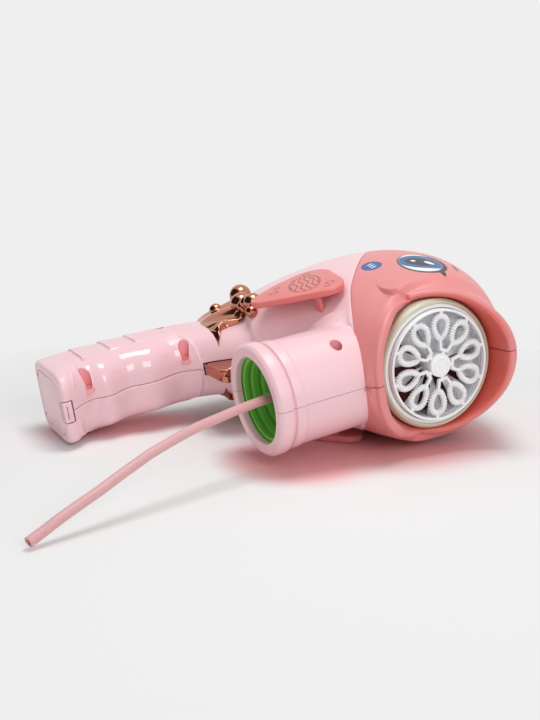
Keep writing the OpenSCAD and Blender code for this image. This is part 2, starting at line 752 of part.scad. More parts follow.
module wand_wheel() {
    half = 90 / arms;
    color(white) lie_down() difference() {
        union() {
            forward_from(hub_back) cylinder(d = hub_d, h = hub_front - hub_back);
            forward_from(hub_front - 0.5) cylinder(d = hub_d - 3, h = 1);
            forward_from(rim_back) difference() {
                cylinder(r = guide_r, h = rim_front - rim_back, $fn = 96);
                translate([0, 0, -1]) cylinder(r = guide_r - guide_wall, h = 9, $fn = 96);
            }
            for (k = [0 : arms - 1]) rotate([-360 * k / arms - wheel_rest, 0, 0]) {
                bar([0, hub_d / 2 - 1], [0, fork_r], 1.8, arm_t);
                bar([-2.6, fork_r], [2.6, fork_r], 1.5, arm_t);
                for (m = [-1, 1]) {
                    bar([m * 2, fork_r], polar(loop_in, m * half), 1.4, arm_t);
                    bar(polar(wheel_r - 1, m * half), polar(guide_r - guide_wall / 2, m * half), 1.6, arm_t);
                    bubble_loop(m * half);
                }
            }
        }
        forward_from(hub_back - 1) cylinder(d = shaft_d + 2 * run_gap, h = 6.5);
    }
}

// Gear train behind the air chamber, in planes along the wheel shaft
plenum_back = -33.5;
gear_front = -35.5;
second_front = -40;
plate_front = -44;
plate_t = 2;
tip = 0.75;
root = 0.95;
function pitch_r(teeth) = gear_module * teeth / 2;
idler_z = -(pitch_r(wheel_teeth) + pitch_r(idler_small));
motor_y = pitch_r(idler_large) + pitch_r(pinion_teeth);
idler_d = 2;

module gear_profile(teeth, phase) {
    p = 360 / teeth;
    low = pitch_r(teeth) - root * gear_module;
    high = pitch_r(teeth) + tip * gear_module;
    polygon([for (k = [0 : teeth - 1]) for (q = [[-0.31, low], [-0.13, high], [0.13, high], [0.31, low]])
        let (a = phase + (k + q[0]) * p) [q[1] * cos(a), q[1] * sin(a)]]);
}

module wheel_shaft() {
    color(steel) lie_down() forward_from(gear_front - gear_w - 0.9)
        cylinder(d = shaft_d, h = hub_back + 5.3 - gear_front + gear_w + 0.9);
}

module wheel_gear() {
    color(white) lie_down() forward_from(gear_front - gear_w) difference() {
        union() {
            linear_extrude(gear_w) gear_profile(wheel_teeth, -90);
            cylinder(d = shaft_d + 5, h = gear_w + 1);
        }
        translate([0, 0, -1]) cylinder(d = shaft_d + 2 * run_gap, h = gear_w + 4);
    }
}

module at_idler() {
    translate([0, 0, idler_z]) children();
}

module idler_gear() {
    color(cream) lie_down() at_idler() forward_from(0) difference() {
        union() {
            translate([0, 0, gear_front - gear_w]) linear_extrude(gear_w) gear_profile(idler_small, 90 + 180 / idler_small);
            translate([0, 0, second_front - gear_w]) linear_extrude(gear_w) gear_profile(idler_large, 0);
            translate([0, 0, second_front - gear_w]) cylinder(d = idler_d + 6, h = gear_front - second_front);
        }
        translate([0, 0, -60]) cylinder(d = idler_d + 2 * run_gap, h = 60);
    }
}

pump_back = -57.5;
pump_r = motor_y - motor_d * 3 / 8 - 0.4;
pump_wall = 1.4;

module idler_shaft() {
    color(steel) lie_down() at_idler() forward_from(pump_back + 0.2) cylinder(d = idler_d, h = plenum_back - pump_back + 1.5);
}

module motor_pinion() {
    color(steel) lie_down() translate([0, motor_y, idler_z]) forward_from(0) {
        translate([0, 0, second_front - gear_w]) linear_extrude(gear_w) gear_profile(pinion_teeth, 180 + 180 / pinion_teeth);
        translate([0, 0, plate_front - plate_t - 3]) cylinder(d = idler_d, h = plate_t + 5);
    }
}

module motor_can(length) {
    difference() {
        intersection() {
            translate([0, 0, -length]) cylinder(d = motor_d, h = length);
            translate([-motor_d * 3 / 8, -motor_d, -length - 1]) cube([motor_d * 3 / 4, 2 * motor_d, length + 2]);
        }
        translate([0, 0, -4]) cylinder(d = idler_d + 2 * run_gap, h = 5);
    }
}

module gear_motor() {
    color(steel) lie_down() translate([0, motor_y, idler_z]) forward_from(plate_front - plate_t) motor_can(motor_l);
}

PLATE_POSTS = [[-19, -15], [19, -5]];

module gear_plate() {
    color(white) lie_down() difference() {
        union() {
            forward_from(plate_front - plate_t) linear_extrude(plate_t) hull() {
                translate([0, idler_z]) circle(r = pump_r + 1.5, $fn = 32);
                translate([motor_y, idler_z]) circle(r = motor_d / 2 + 1.5, $fn = 32);
                for (q = PLATE_POSTS) translate(q) circle(r = 4, $fn = 24);
            }
            for (q = PLATE_POSTS) translate([0, q[0], q[1]])
                forward_from(plate_front - 1) cylinder(d = 5, h = plenum_back - plate_front + 1);
        }
        at_idler() forward_from(plate_front - plate_t - 1) cylinder(d = idler_d + 1, h = plate_t + 2);
        translate([0, motor_y, idler_z]) forward_from(plate_front - plate_t - 1) cylinder(d = 6, h = plate_t + 2);
    }
}

// Roller pump on the idler's shaft
roller_r = 2.2;
pump_tube_r = 1.9;
roller_orbit = pump_r - pump_wall - 2 * seat_gap - 2 * pump_tube_r - roller_r;
tube_d = 4;
pump_mid = -51.6;

module pump_housing() {
    depth = plate_front - plate_t - pump_back;
    color(grey) lie_down() at_idler() difference() {
        forward_from(pump_back) difference() {
            cylinder(r = pump_r, h = depth);
            translate([0, 0, pump_wall]) cylinder(r = pump_r - pump_wall, h = depth);
            translate([0, 0, -1]) cylinder(d = idler_d + 2 * run_gap, h = 5);
        }
        translate([pump_mid, 0, -pump_r - 1]) cylinder(d = tube_d - 2, h = 4);
        translate([pump_mid, 0, 0]) right_from(-pump_r + 3) cylinder(d = tube_d - 2, h = 4);
    }
}

module pump_rotor() {
    color(white) lie_down() at_idler() forward_from(0) difference() {
        union() {
            translate([0, 0, pump_back + pump_wall + 0.5]) cylinder(d = idler_d + 2, h = 9);
            translate([0, 0, pump_back + pump_wall + 8.3]) cylinder(r = roller_orbit + 1.6, h = 1.2);
            for (k = [0 : 2]) rotate(120 * k + 30) translate([roller_orbit, 0, pump_back + pump_wall + 2])
                cylinder(r = 0.9, h = 7);
        }
        translate([0, 0, -60]) cylinder(d = idler_d + 2 * run_gap, h = 20);
    }
}

module pump_rollers() {
    color(steel) lie_down() at_idler() forward_from(pump_back + pump_wall + 2.2) for (k = [0 : 2]) rotate(120 * k + 30)
        translate([roller_orbit, 0, 0]) difference() {
            cylinder(r = roller_r, h = 5.8);
            translate([0, 0, -1]) cylinder(r = 0.9 + run_gap, h = 8);
        }
}

module pump_tube() {
    color(cream) lie_down() at_idler() forward_from(pump_mid) rotate(-90) rotate_extrude(angle = 270)
        translate([pump_r - pump_wall - seat_gap - pump_tube_r, 0]) circle(r = pump_tube_r, $fn = 24);
}

tube_sides = 8;

module inlet_tube() {
    bend = smooth_route([[-socket_back, 0, nipple_top + 1], [-socket_back, 0, nipple_top + 3],
        [-socket_back - 4, 0, -chin_h - 1.5], [-socket_back - 12, 0, 1.5 - chin_h], [-socket_back - 20, 0, 2.2 - chin_h],
        [-socket_back - 26, 0, 4 - chin_h], [pump_mid, 0, idler_z - pump_r - 3], [pump_mid, 0, idler_z - pump_r]], 3);
    route = concat([[-socket_back, 0, nipple_top]], bend);
    color(cream) lie_down() rod(route, [for (q = route) tube_d / 2], tube_sides, [0, 1, 0]);
}

module outlet_tube() {
    side = feed_r * sin(feed_angle);
    route = smooth_route([[pump_mid, -pump_r, idler_z], [pump_mid, -pump_r - 4, idler_z], [-50, -24, -15],
        [-46, -29, -6], [-42, -29, 5], [-38, -25.5, 14], [-34, -22, 19.5], [-28, -side, side], [-21, -side, side],
        [feed_x - 2.4, -side, side]], 3);
    color(cream) lie_down() rod(route, [for (q = route) tube_d / 2], tube_sides, [0, 0, 1]);
}

// Air chamber between fan and vanes; its back wall carries the ends of the shafts
plenum_wall = 1.5;
PORT = [6.8, 15.2, 22.6];

module plenum() {
    color(grey) lie_down() difference() {
        union() {
            forward_from(plenum_back) difference() {
                cylinder(r = guide_r, h = guide_back - plenum_back);
                translate([0, 0, plenum_wall]) cylinder(r = guide_r - plenum_wall, h = 40);
            }
            forward_from(plenum_back - 0.8) cylinder(r = shaft_d / 2 + 2.5, h = 5);
            at_idler() forward_from(plenum_back) cylinder(r = idler_d / 2 + 2, h = 4);
        }
        forward_from(plenum_back - 5) cylinder(d = shaft_d + 2 * run_gap, h = 20);
        at_idler() forward_from(plenum_back - 5) cylinder(d = idler_d + 2 * run_gap, h = 20);
        translate([plenum_back - 1, -PORT[0], PORT[1]]) cube([5, 2 * PORT[0], PORT[2] - PORT[1]]);
    }
}

// Fan in a scroll whose mouth opens into the air chamber; its axis runs across the head
fan_x = -70;
fan_z = 16;
scroll_wall = 1.5;
scroll_half = fan_half + 2.2;
scroll_r = fan_r + 5;
intake_r = 11;

module scroll_profile(grow) {
    translate([fan_x, fan_z]) circle(r = scroll_r - scroll_wall + grow);
    translate([fan_x, PORT[1] - grow]) square([plenum_back - fan_x, PORT[2] - PORT[1] + 2 * grow]);
}

module fan_scroll() {
    color(white) lie_down() difference() {
        right_from(scroll_half) linear_extrude(2 * scroll_half) scroll_profile(scroll_wall - 0.1);
        right_from(scroll_half - scroll_wall) linear_extrude(2 * (scroll_half - scroll_wall)) union() {
            scroll_profile(0);
            translate([fan_x, PORT[1]]) square([plenum_back - fan_x + 5, PORT[2] - PORT[1]]);
        }
        translate([fan_x, 0, fan_z]) right_from(0) cylinder(r = intake_r, h = 20);
        translate([fan_x, 0, fan_z]) left_from(0) cylinder(d = 6, h = 20);
    }
}

module fan_rotor() {
    color(grey) lie_down() translate([fan_x, 0, fan_z]) {
        difference() {
            union() {
                left_from(fan_half - 1.2) cylinder(r = fan_r, h = 1.2);
                left_from(-fan_half + 2) cylinder(d = 8, h = 2 * fan_half - 2);
                for (k = [0 : fan_blades - 1]) rotate([0, 360 * k / fan_blades, 0])
                    translate([fan_r * 0.58, -fan_half, 0]) rotate([0, 35, 0])
                    translate([0, 0, -0.5]) cube([fan_r * 0.44, 2 * fan_half - 0.6, 1]);
            }
            left_from(-fan_half - 1) cylinder(d = idler_d + 2 * run_gap, h = 3 * fan_half);
        }
    }
}

module fan_motor() {
    color(steel) lie_down() translate([fan_x, 0, fan_z]) {
        left_from(scroll_half) cylinder(d = motor_d, h = motor_l);
        left_from(-fan_half + 2) cylinder(d = idler_d, h = scroll_half + fan_half);
    }
}

// Green collar that takes the neck of the bottle, with a nipple for the hose
collar_low = -socket_end + rim_lip;
collar_roof = collar_low + neck_depth;
roof_t = 3;
nipple_r = 1.9;
nipple_low = collar_roof - 4;
nipple_top = collar_roof + roof_t + 4;
step_h = 8;
step_in = 1.5;

module bottle_collar() {
    color(green) lie_down() translate([-socket_back, 0, 0]) difference() {
        union() {
            translate([0, 0, collar_low]) cylinder(r = collar_r, h = neck_depth + roof_t, $fn = 96);
            translate([0, 0, nipple_low]) cylinder(r = nipple_r, h = nipple_top - nipple_low);
        }
        translate([0, 0, collar_low - 1]) difference() {
            union() {
                cylinder(d = neck_bore, h = neck_depth - step_h + 1, $fn = 96);
                cylinder(d = neck_bore - 2 * step_in, h = neck_depth + 1, $fn = 96);
            }
            translate([0, 0, nipple_low - collar_low + 1]) cylinder(r = nipple_r, h = 20);
        }
        translate([0, 0, nipple_low - 1]) cylinder(r = 0.8, h = 40);
    }
}

module collar_seal() {
    color(black) lie_down() translate([-socket_back, 0, collar_roof - 1.2]) difference() {
        cylinder(d = neck_bore - 2 * step_in - 0.4, h = 1.2);
        translate([0, 0, -1]) cylinder(r = 12, h = 4);
    }
}

// Suction hose: from the nipple out of the socket and down to the table, in steps from the hub
hose_start = hub_at + [nipple_low * cos(lie_tilt), socket_back, nipple_low * sin(lie_tilt)];
HOSE_ROUTE = [[-66.2, 21.9, -10.5], [-73.2, 18.4, -10.2], [-82.2, 13.4, -10.4], [-97.2, 7.4, -11.6],
    [-108.2, 3.4, -13.1], [-119.2, -0.6, -14.6], [-129.2, -4.6, -16.6], [-137.2, -7.6, -18.6],
    [-144.2, -10.1, -20.6], [-151.2, -12.8, -23.1], [-158.2, -15.6, -25.6], [-167.2, -19.1, -29.1],
    [-176.2, -22.4, -32.3], [-184.2, -25.4, -35.2], [-191.2, -27.9, -38.2], [-197.2, -30.1, -40.6]];

module suction_hose() {
    route = smooth_route(concat([hose_start], [for (q = HOSE_ROUTE) hub_at + q]), 2);
    color([0.85, 0.62, 0.62]) rod(route, [for (q = route) hose_d / 2], 10, [0, 0, 1]);
}

module case_screws() {
    color(steel) lie_down() for (q = SCREWS) translate([q[0], 0, q[1]]) {
        right_from(-screw_floor) cylinder(d = screw_head_d, h = 2);
        right_from(screw_grip) cylinder(d = screw_d, h = screw_floor + screw_grip + 0.5);
    }
}

right_shell();
left_shell();
right_face();
left_face();
right_fin();
left_fin();
tail_splash();
trigger();
trigger_spring();
trigger_switch();
battery_door();
battery_box();
cell(-0.5, -0.5);  // cell_1
cell(-0.5, 0.5);  // cell_2
cell(0.5, -0.5);  // cell_3
cell(0.5, 0.5);  // cell_4
contact_springs();
contact_plate();
circuit_board();
light_ring();
led_board();
air_guide();
wand_wheel();
wheel_shaft();
wheel_gear();
idler_gear();
idler_shaft();
motor_pinion();
gear_motor();
gear_plate();
pump_housing();
pump_rotor();
pump_rollers();
pump_tube();
inlet_tube();
outlet_tube();
feed_nozzle();
plenum();
fan_scroll();
fan_rotor();
fan_motor();
bottle_collar();
collar_seal();
suction_hose();
case_screws();
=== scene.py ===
"""Bubble blower lying on its left side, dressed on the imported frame.

Pieces are modelled in the gun's own frame in millimetres (x forward from the wheel hub, y to the left,
z towards the crown) and laid down into the row frame, in metres, as they are delivered.
"""

import logging
import math
from dataclasses import dataclass
from enum import Enum
from typing import Callable, Iterable, Optional, Sequence

import bmesh
import bpy
from mathutils import Matrix, Vector
from mathutils.bvhtree import BVHTree


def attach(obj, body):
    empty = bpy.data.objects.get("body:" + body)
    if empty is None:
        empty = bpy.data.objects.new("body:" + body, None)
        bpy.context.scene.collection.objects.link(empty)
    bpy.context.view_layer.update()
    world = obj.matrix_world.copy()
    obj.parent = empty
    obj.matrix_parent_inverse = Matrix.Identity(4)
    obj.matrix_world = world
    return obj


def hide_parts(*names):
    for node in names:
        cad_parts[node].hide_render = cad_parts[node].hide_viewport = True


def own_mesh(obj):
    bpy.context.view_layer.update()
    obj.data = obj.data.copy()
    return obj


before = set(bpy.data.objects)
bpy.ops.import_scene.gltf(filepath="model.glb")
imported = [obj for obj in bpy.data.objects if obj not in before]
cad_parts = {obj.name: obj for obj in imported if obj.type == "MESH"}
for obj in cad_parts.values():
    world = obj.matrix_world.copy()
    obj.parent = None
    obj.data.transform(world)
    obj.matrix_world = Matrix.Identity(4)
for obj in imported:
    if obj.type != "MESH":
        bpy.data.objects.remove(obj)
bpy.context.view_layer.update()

log = logging.getLogger("bubble_blower")

HUB = Vector((49.7, -64.8, 43.3))
TILT = math.radians(9.08)
MM = 0.001

GUN_AXES = Matrix((
    (0.0, math.sin(TILT), math.cos(TILT)),
    (-1.0, 0.0, 0.0),
    (0.0, -math.cos(TILT), math.sin(TILT)),
))
LIE_DOWN = Matrix.Translation(HUB * MM) @ (GUN_AXES * MM).to_4x4()

AHEAD = Vector((1, 0, 0))
UP = Vector((0, 0, 1))
CREASE = 38.0
ENDLESS = 1e6

Colour = tuple[float, float, float]
Point2 = tuple[float, float]
Point3 = tuple[float, float, float]
Spot = tuple[Point2, Point2, float, float]
Mesh = bmesh.types.BMesh
Vert = bmesh.types.BMVert
Edge = bmesh.types.BMEdge
Face = bmesh.types.BMFace
Thing = bpy.types.Object
Tree = bpy.types.NodeTree
Socket = bpy.types.NodeSocket


class Side(Enum):
    """Half of the toy: the right one faces up, the left one the table."""

    RIGHT = -1
    LEFT = 1


def held(value: float, low: float = 0.0, high: float = 1.0) -> float:
    """Holds a value between two limits."""
    return max(min(value, high), low)


def smooth01(value: float) -> float:
    """Eases a value from 0 to 1 and holds it outside that range."""
    t = held(value)
    return t * t * (3.0 - 2.0 * t)


def ramp(value: float, span: Point2) -> float:
    """Eases from 0 to 1, from a span's start and over its length."""
    return smooth01((value - span[0]) / span[1])


def mix(a: float, b: float, t: float) -> float:
    """Goes straight from a to b."""
    return a + (b - a) * t


def rgba(colour: Colour) -> tuple[float, float, float, float]:
    """Adds full opacity to a colour."""
    return (*colour, 1.0)


def along(rows: Sequence[Sequence[float]], s: float) -> list[float]:
    """Reads a smooth curve through rows of numbers.

    Args:
        rows: Rows of equal length, one per whole index.
        s: Fractional index.

    Returns:
        The row at that index.
    """
    last = len(rows) - 1
    i = max(0, min(int(math.floor(s)), last - 1))
    t = s - i
    before, here, after, beyond = rows[max(i - 1, 0)], rows[i], rows[i + 1], rows[min(i + 2, last)]
    return [
        b + (c - a) * (t / 2) + (2 * a - 5 * b + 4 * c - d) * (t * t / 2)
        + (3 * b - a - 3 * c + d) * (t ** 3 / 2)
        for a, b, c, d in zip(before, here, after, beyond)
    ]


def steps_between(points: Sequence[Point2], x: float) -> float:
    """Reads a curve given as points in rising x, eased from each point to the next.

    Args:
        points: Given points.
        x: Where to read it.

    Returns:
        The height there.
    """
    if x <= points[0][0]:
        return points[0][1]
    for (x0, y0), (x1, y1) in zip(points, points[1:]):
        if x <= x1:
            return mix(y0, y1, smooth01((x - x0) / (x1 - x0)))
    return points[-1][1]


class MeshBench:
    """Operators that the pieces share."""

    @staticmethod
    def patch(bm: Mesh, nu: int, nv: int, place: Callable[[float, float], Vector],
              closed: bool = False) -> list[Vert]:
        """Lays a grid and moves each vertex through a surface.

        Args:
            bm: Mesh that takes the grid.
            nu: Segments along u.
            nv: Segments along v.
            place: Surface point for u and v from 0 to 1.
            closed: Whether meeting edges are merged.

        Returns:
            The vertices of the patch.
        """
        made = bmesh.ops.create_grid(bm, x_segments=nu, y_segments=nv, size=0.5)
        verts = made["verts"]
        for vert in verts:
            vert.co = place(vert.co.x + 0.5, vert.co.y + 0.5)
        if closed:
            bmesh.ops.remove_doubles(bm, verts=verts, dist=0.0005)
            verts = [v for v in verts if v.is_valid]
        return verts

    @staticmethod
    def turned(bm: Mesh, profile: Sequence[Vector], centre: Vector, axis: Vector, steps: int,
               angle: float = math.tau) -> None:
        """Spins a profile about an axis.

        Args:
            bm: Mesh that takes the shape.
            profile: Points of the profile.
            centre: Point on the axis.
            axis: Direction of the axis.
            steps: Steps of the spin.
            angle: How far it turns.
        """
        verts = [bm.verts.new(p) for p in profile]
        edges = [bm.edges.new(pair) for pair in zip(verts, verts[1:])]
        full = abs(abs(angle) - math.tau) < 1e-6
        bmesh.ops.spin(bm, geom=verts + edges, cent=centre, axis=axis, dvec=(0, 0, 0), angle=angle,
                       steps=steps, use_merge=full, use_duplicate=False)
        bmesh.ops.remove_doubles(bm, verts=bm.verts, dist=0.0005)

    @staticmethod
    def block(bm: Mesh, low: Sequence[float], high: Sequence[float], round_by: float = 0.0,
              turn: Matrix = Matrix.Identity(4)) -> list[Vert]:
        """Makes a block between two corners with rounded edges.

        Args:
            bm: Mesh that takes the block.
            low: Lowest corner.
            high: Highest corner.
            round_by: Width of the edge rounding.
            turn: Matrix that places the block.

        Returns:
            The vertices of the block.
        """
        low, high = Vector(low), Vector(high)
        size = high - low
        place = turn @ Matrix.Translation((low + high) / 2) @ Matrix.Diagonal((*size, 1.0))
        made = bmesh.ops.create_cube(bm, size=1.0, matrix=place)["verts"]
        if round_by > 0:
            out = MeshBench.soften(bm, list({e for v in made for e in v.link_edges}), round_by, 3)
            made = list({v for f in out["faces"] for v in f.verts})
        return made

    @staticmethod
    def rounded(points: Sequence[Point2], radius: float, steps: int = 4) -> list[Point2]:
        """Rounds the inner corners of an open line.

        Args:
            points: Corners of the line.
            radius: Reach of the rounding, shortened on short legs.
            steps: Points per corner.

        Returns:
            The rounded line.
        """
        out: list[Point2] = [points[0]]
        for a, b, c in zip(points, points[1:], points[2:]):
            pa, pb, pc = Vector(a), Vector(b), Vector(c)
            reach = min(radius, (pa - pb).length * 0.45, (pc - pb).length * 0.45)
            p0 = pb + (pa - pb).normalized() * reach
            p1 = pb + (pc - pb).normalized() * reach
            for k in range(steps + 1):
                t = k / steps
                out.append(tuple((1 - t) ** 2 * p0 + 2 * t * (1 - t) * pb + t * t * p1))
        out.append(points[-1])
        return out

    @staticmethod
    def ringed(bm: Mesh, line: Sequence[Point2], radius: float, steps: int) -> None:
        """Rounds a line of radius and x, and spins it about the mouth's axis.

        Args:
            bm: Mesh that takes the shape.
            line: Corners of the line.
            radius: Reach of the rounding.
            steps: Steps of the spin.
        """
        profile = [Vector((x, 0, r)) for r, x in MeshBench.rounded(line, radius)]
        MeshBench.turned(bm, profile, Vector(), AHEAD, steps)

    @staticmethod
    def rod(bm: Mesh, radius: float, depth: float, segments: int, matrix: Matrix) -> None:
        """Makes a capped cylinder about its own middle.

        Args:
            bm: Mesh that takes it.
            radius: Radius.
            depth: Length.
            segments: Steps round it.
            matrix: Matrix that places it.
        """
        bmesh.ops.create_cone(bm, cap_ends=True, segments=segments, radius1=radius, radius2=radius,
                              depth=depth, matrix=matrix)

    @staticmethod
    def soften(bm: Mesh, edges: Sequence[Edge], width: float, steps: int) -> dict[str, list]:
        """Rounds edges.

        Args:
            bm: Mesh that holds them.
            edges: Edges to round.
            width: Width of the rounding.
            steps: Segments across it.

        Returns:
            What the bevel made.
        """
        return bmesh.ops.bevel(bm, geom=edges, offset=width, offset_type="OFFSET", segments=steps,
                               profile=0.5, affect="EDGES", material=-1)

    @staticmethod
    def push(bm: Mesh, faces: Sequence[Face], move: Sequence[float]) -> list[Face]:
        """Extrudes faces along a move.

        Args:
            bm: Mesh that holds them.
            faces: Faces to extrude.
            move: How far they go.

        Returns:
            The moved faces.
        """
        made = bmesh.ops.extrude_face_region(bm, geom=faces)["geom"]
        bmesh.ops.translate(bm, vec=move, verts=[g for g in made if isinstance(g, Vert)])
        return [g for g in made if isinstance(g, Face)]

    @staticmethod
    def shade(bm: Mesh, crease: float) -> None:
        """Smooths the faces and keeps hard edges sharp.

        Args:
            bm: Mesh to shade.
            crease: Angle in degrees past which an edge stays sharp.
        """
        limit = math.radians(crease)
        for face in bm.faces:
            face.smooth = True
        for edge in bm.edges:
            edge.smooth = not (len(edge.link_faces) == 2 and edge.calc_face_angle(0.0) > limit)

    @staticmethod
    def sink_rim(bm: Mesh, depth: float) -> None:
        """Sinks the open edges so that a joint shows as a fine groove.

        Args:
            bm: Mesh with open edges.
            depth: How far they sink.
        """
        bm.normal_update()
        for vert in {v for e in bm.edges if e.is_boundary for v in e.verts}:
            vert.co -= vert.normal * depth

    @staticmethod
    def emboss(bm: Mesh, verts: Iterable[Vert], relief: Callable[[Vector], float]) -> None:
        """Raises vertices along their normals by a relief.

        Args:
            bm: Mesh that holds them.
            verts: Vertices to raise.
            relief: Height at a point.
        """
        bm.normal_update()
        moves = [(v, v.normal * relief(v.co)) for v in verts]
        for vert, move in moves:
            vert.co += move


@dataclass(frozen=True)
class Finish:
    """A moulded or plated finish with clouding, fine grain and uneven gloss."""

    name: str
    colour: Colour
    second: Colour
    roughness: float = 0.35
    gloss_spread: float = 0.08
    metallic: float = 0.0
    cloud_scale: float = 35.0
    grain_scale: float = 1800.0
    grain: float = 0.03
    grain_depth: float = 0.0004
    coat: float = 0.0
    coat_roughness: float = 0.12
    glow_through: float = 0.0
    glow_reach: Colour = (0.006, 0.003, 0.002)
    glow_scale: float = 0.4

    def material(self) -> bpy.types.Material:
        """Makes the material on its first use.

        Returns:
            The material.
        """
        known = bpy.data.materials.get(self.name)
        if known is not None:
            return known
        mat = bpy.data.materials.new(self.name)
        mat.use_nodes = True
        tree = mat.node_tree
        shader = tree.nodes["Principled BSDF"]
        shader.inputs["Metallic"].default_value = self.metallic
        shader.inputs["Coat Weight"].default_value = self.coat
        shader.inputs["Coat Roughness"].default_value = self.coat_roughness
        if self.glow_through > 0:
            shader.inputs["Subsurface Weight"].default_value = self.glow_through
            shader.inputs["Subsurface Radius"].default_value = self.glow_reach
            shader.inputs["Subsurface Scale"].default_value = self.glow_scale
        coords = tree.nodes.new("ShaderNodeTexCoord")
        colour = self.colour_socket(tree, coords.outputs["Object"])
        tree.links.new(colour, shader.inputs["Base Color"])
        self.dress_surface(tree, shader, coords.outputs["Object"])
        return mat

    def colour_socket(self, tree: Tree, place: Socket) -> Socket:
        """Clouds the two tones into each other.

        Args:
            tree: Node tree of the material.
            place: Object coordinates.

        Returns:
            The colour.
        """
        cloud = tree.nodes.new("ShaderNodeTexNoise")
        cloud.inputs["Scale"].default_value = self.cloud_scale
        cloud.inputs["Detail"].default_value = 3.0
        tree.links.new(place, cloud.inputs["Vector"])
        return PaintPot(tree).over(cloud.outputs["Fac"], rgba(self.colour), rgba(self.second))

    def dress_surface(self, tree: Tree, shader: bpy.types.Node, place: Socket) -> None:
        """Adds grain and uneven gloss.

        Args:
            tree: Node tree of the material.
            shader: Principled shader.
            place: Object coordinates.
        """
        grain = tree.nodes.new("ShaderNodeTexNoise")
        grain.inputs["Scale"].default_value = self.grain_scale
        grain.inputs["Detail"].default_value = 2.0
        tree.links.new(place, grain.inputs["Vector"])
        bump = tree.nodes.new("ShaderNodeBump")
        bump.inputs["Strength"].default_value = self.grain
        bump.inputs["Distance"].default_value = self.grain_depth
        tree.links.new(grain.outputs["Fac"], bump.inputs["Height"])
        tree.links.new(bump.outputs["Normal"], shader.inputs["Normal"])
        patches = tree.nodes.new("ShaderNodeTexNoise")
        patches.inputs["Scale"].default_value = self.cloud_scale * 6.0
        tree.links.new(place, patches.inputs["Vector"])
        span = tree.nodes.new("ShaderNodeMapRange")
        span.inputs["To Min"].default_value = max(self.roughness - self.gloss_spread, 0.02)
        span.inputs["To Max"].default_value = self.roughness + self.gloss_spread
        tree.links.new(patches.outputs["Fac"], span.inputs["Value"])
        tree.links.new(span.outputs["Result"], shader.inputs["Roughness"])


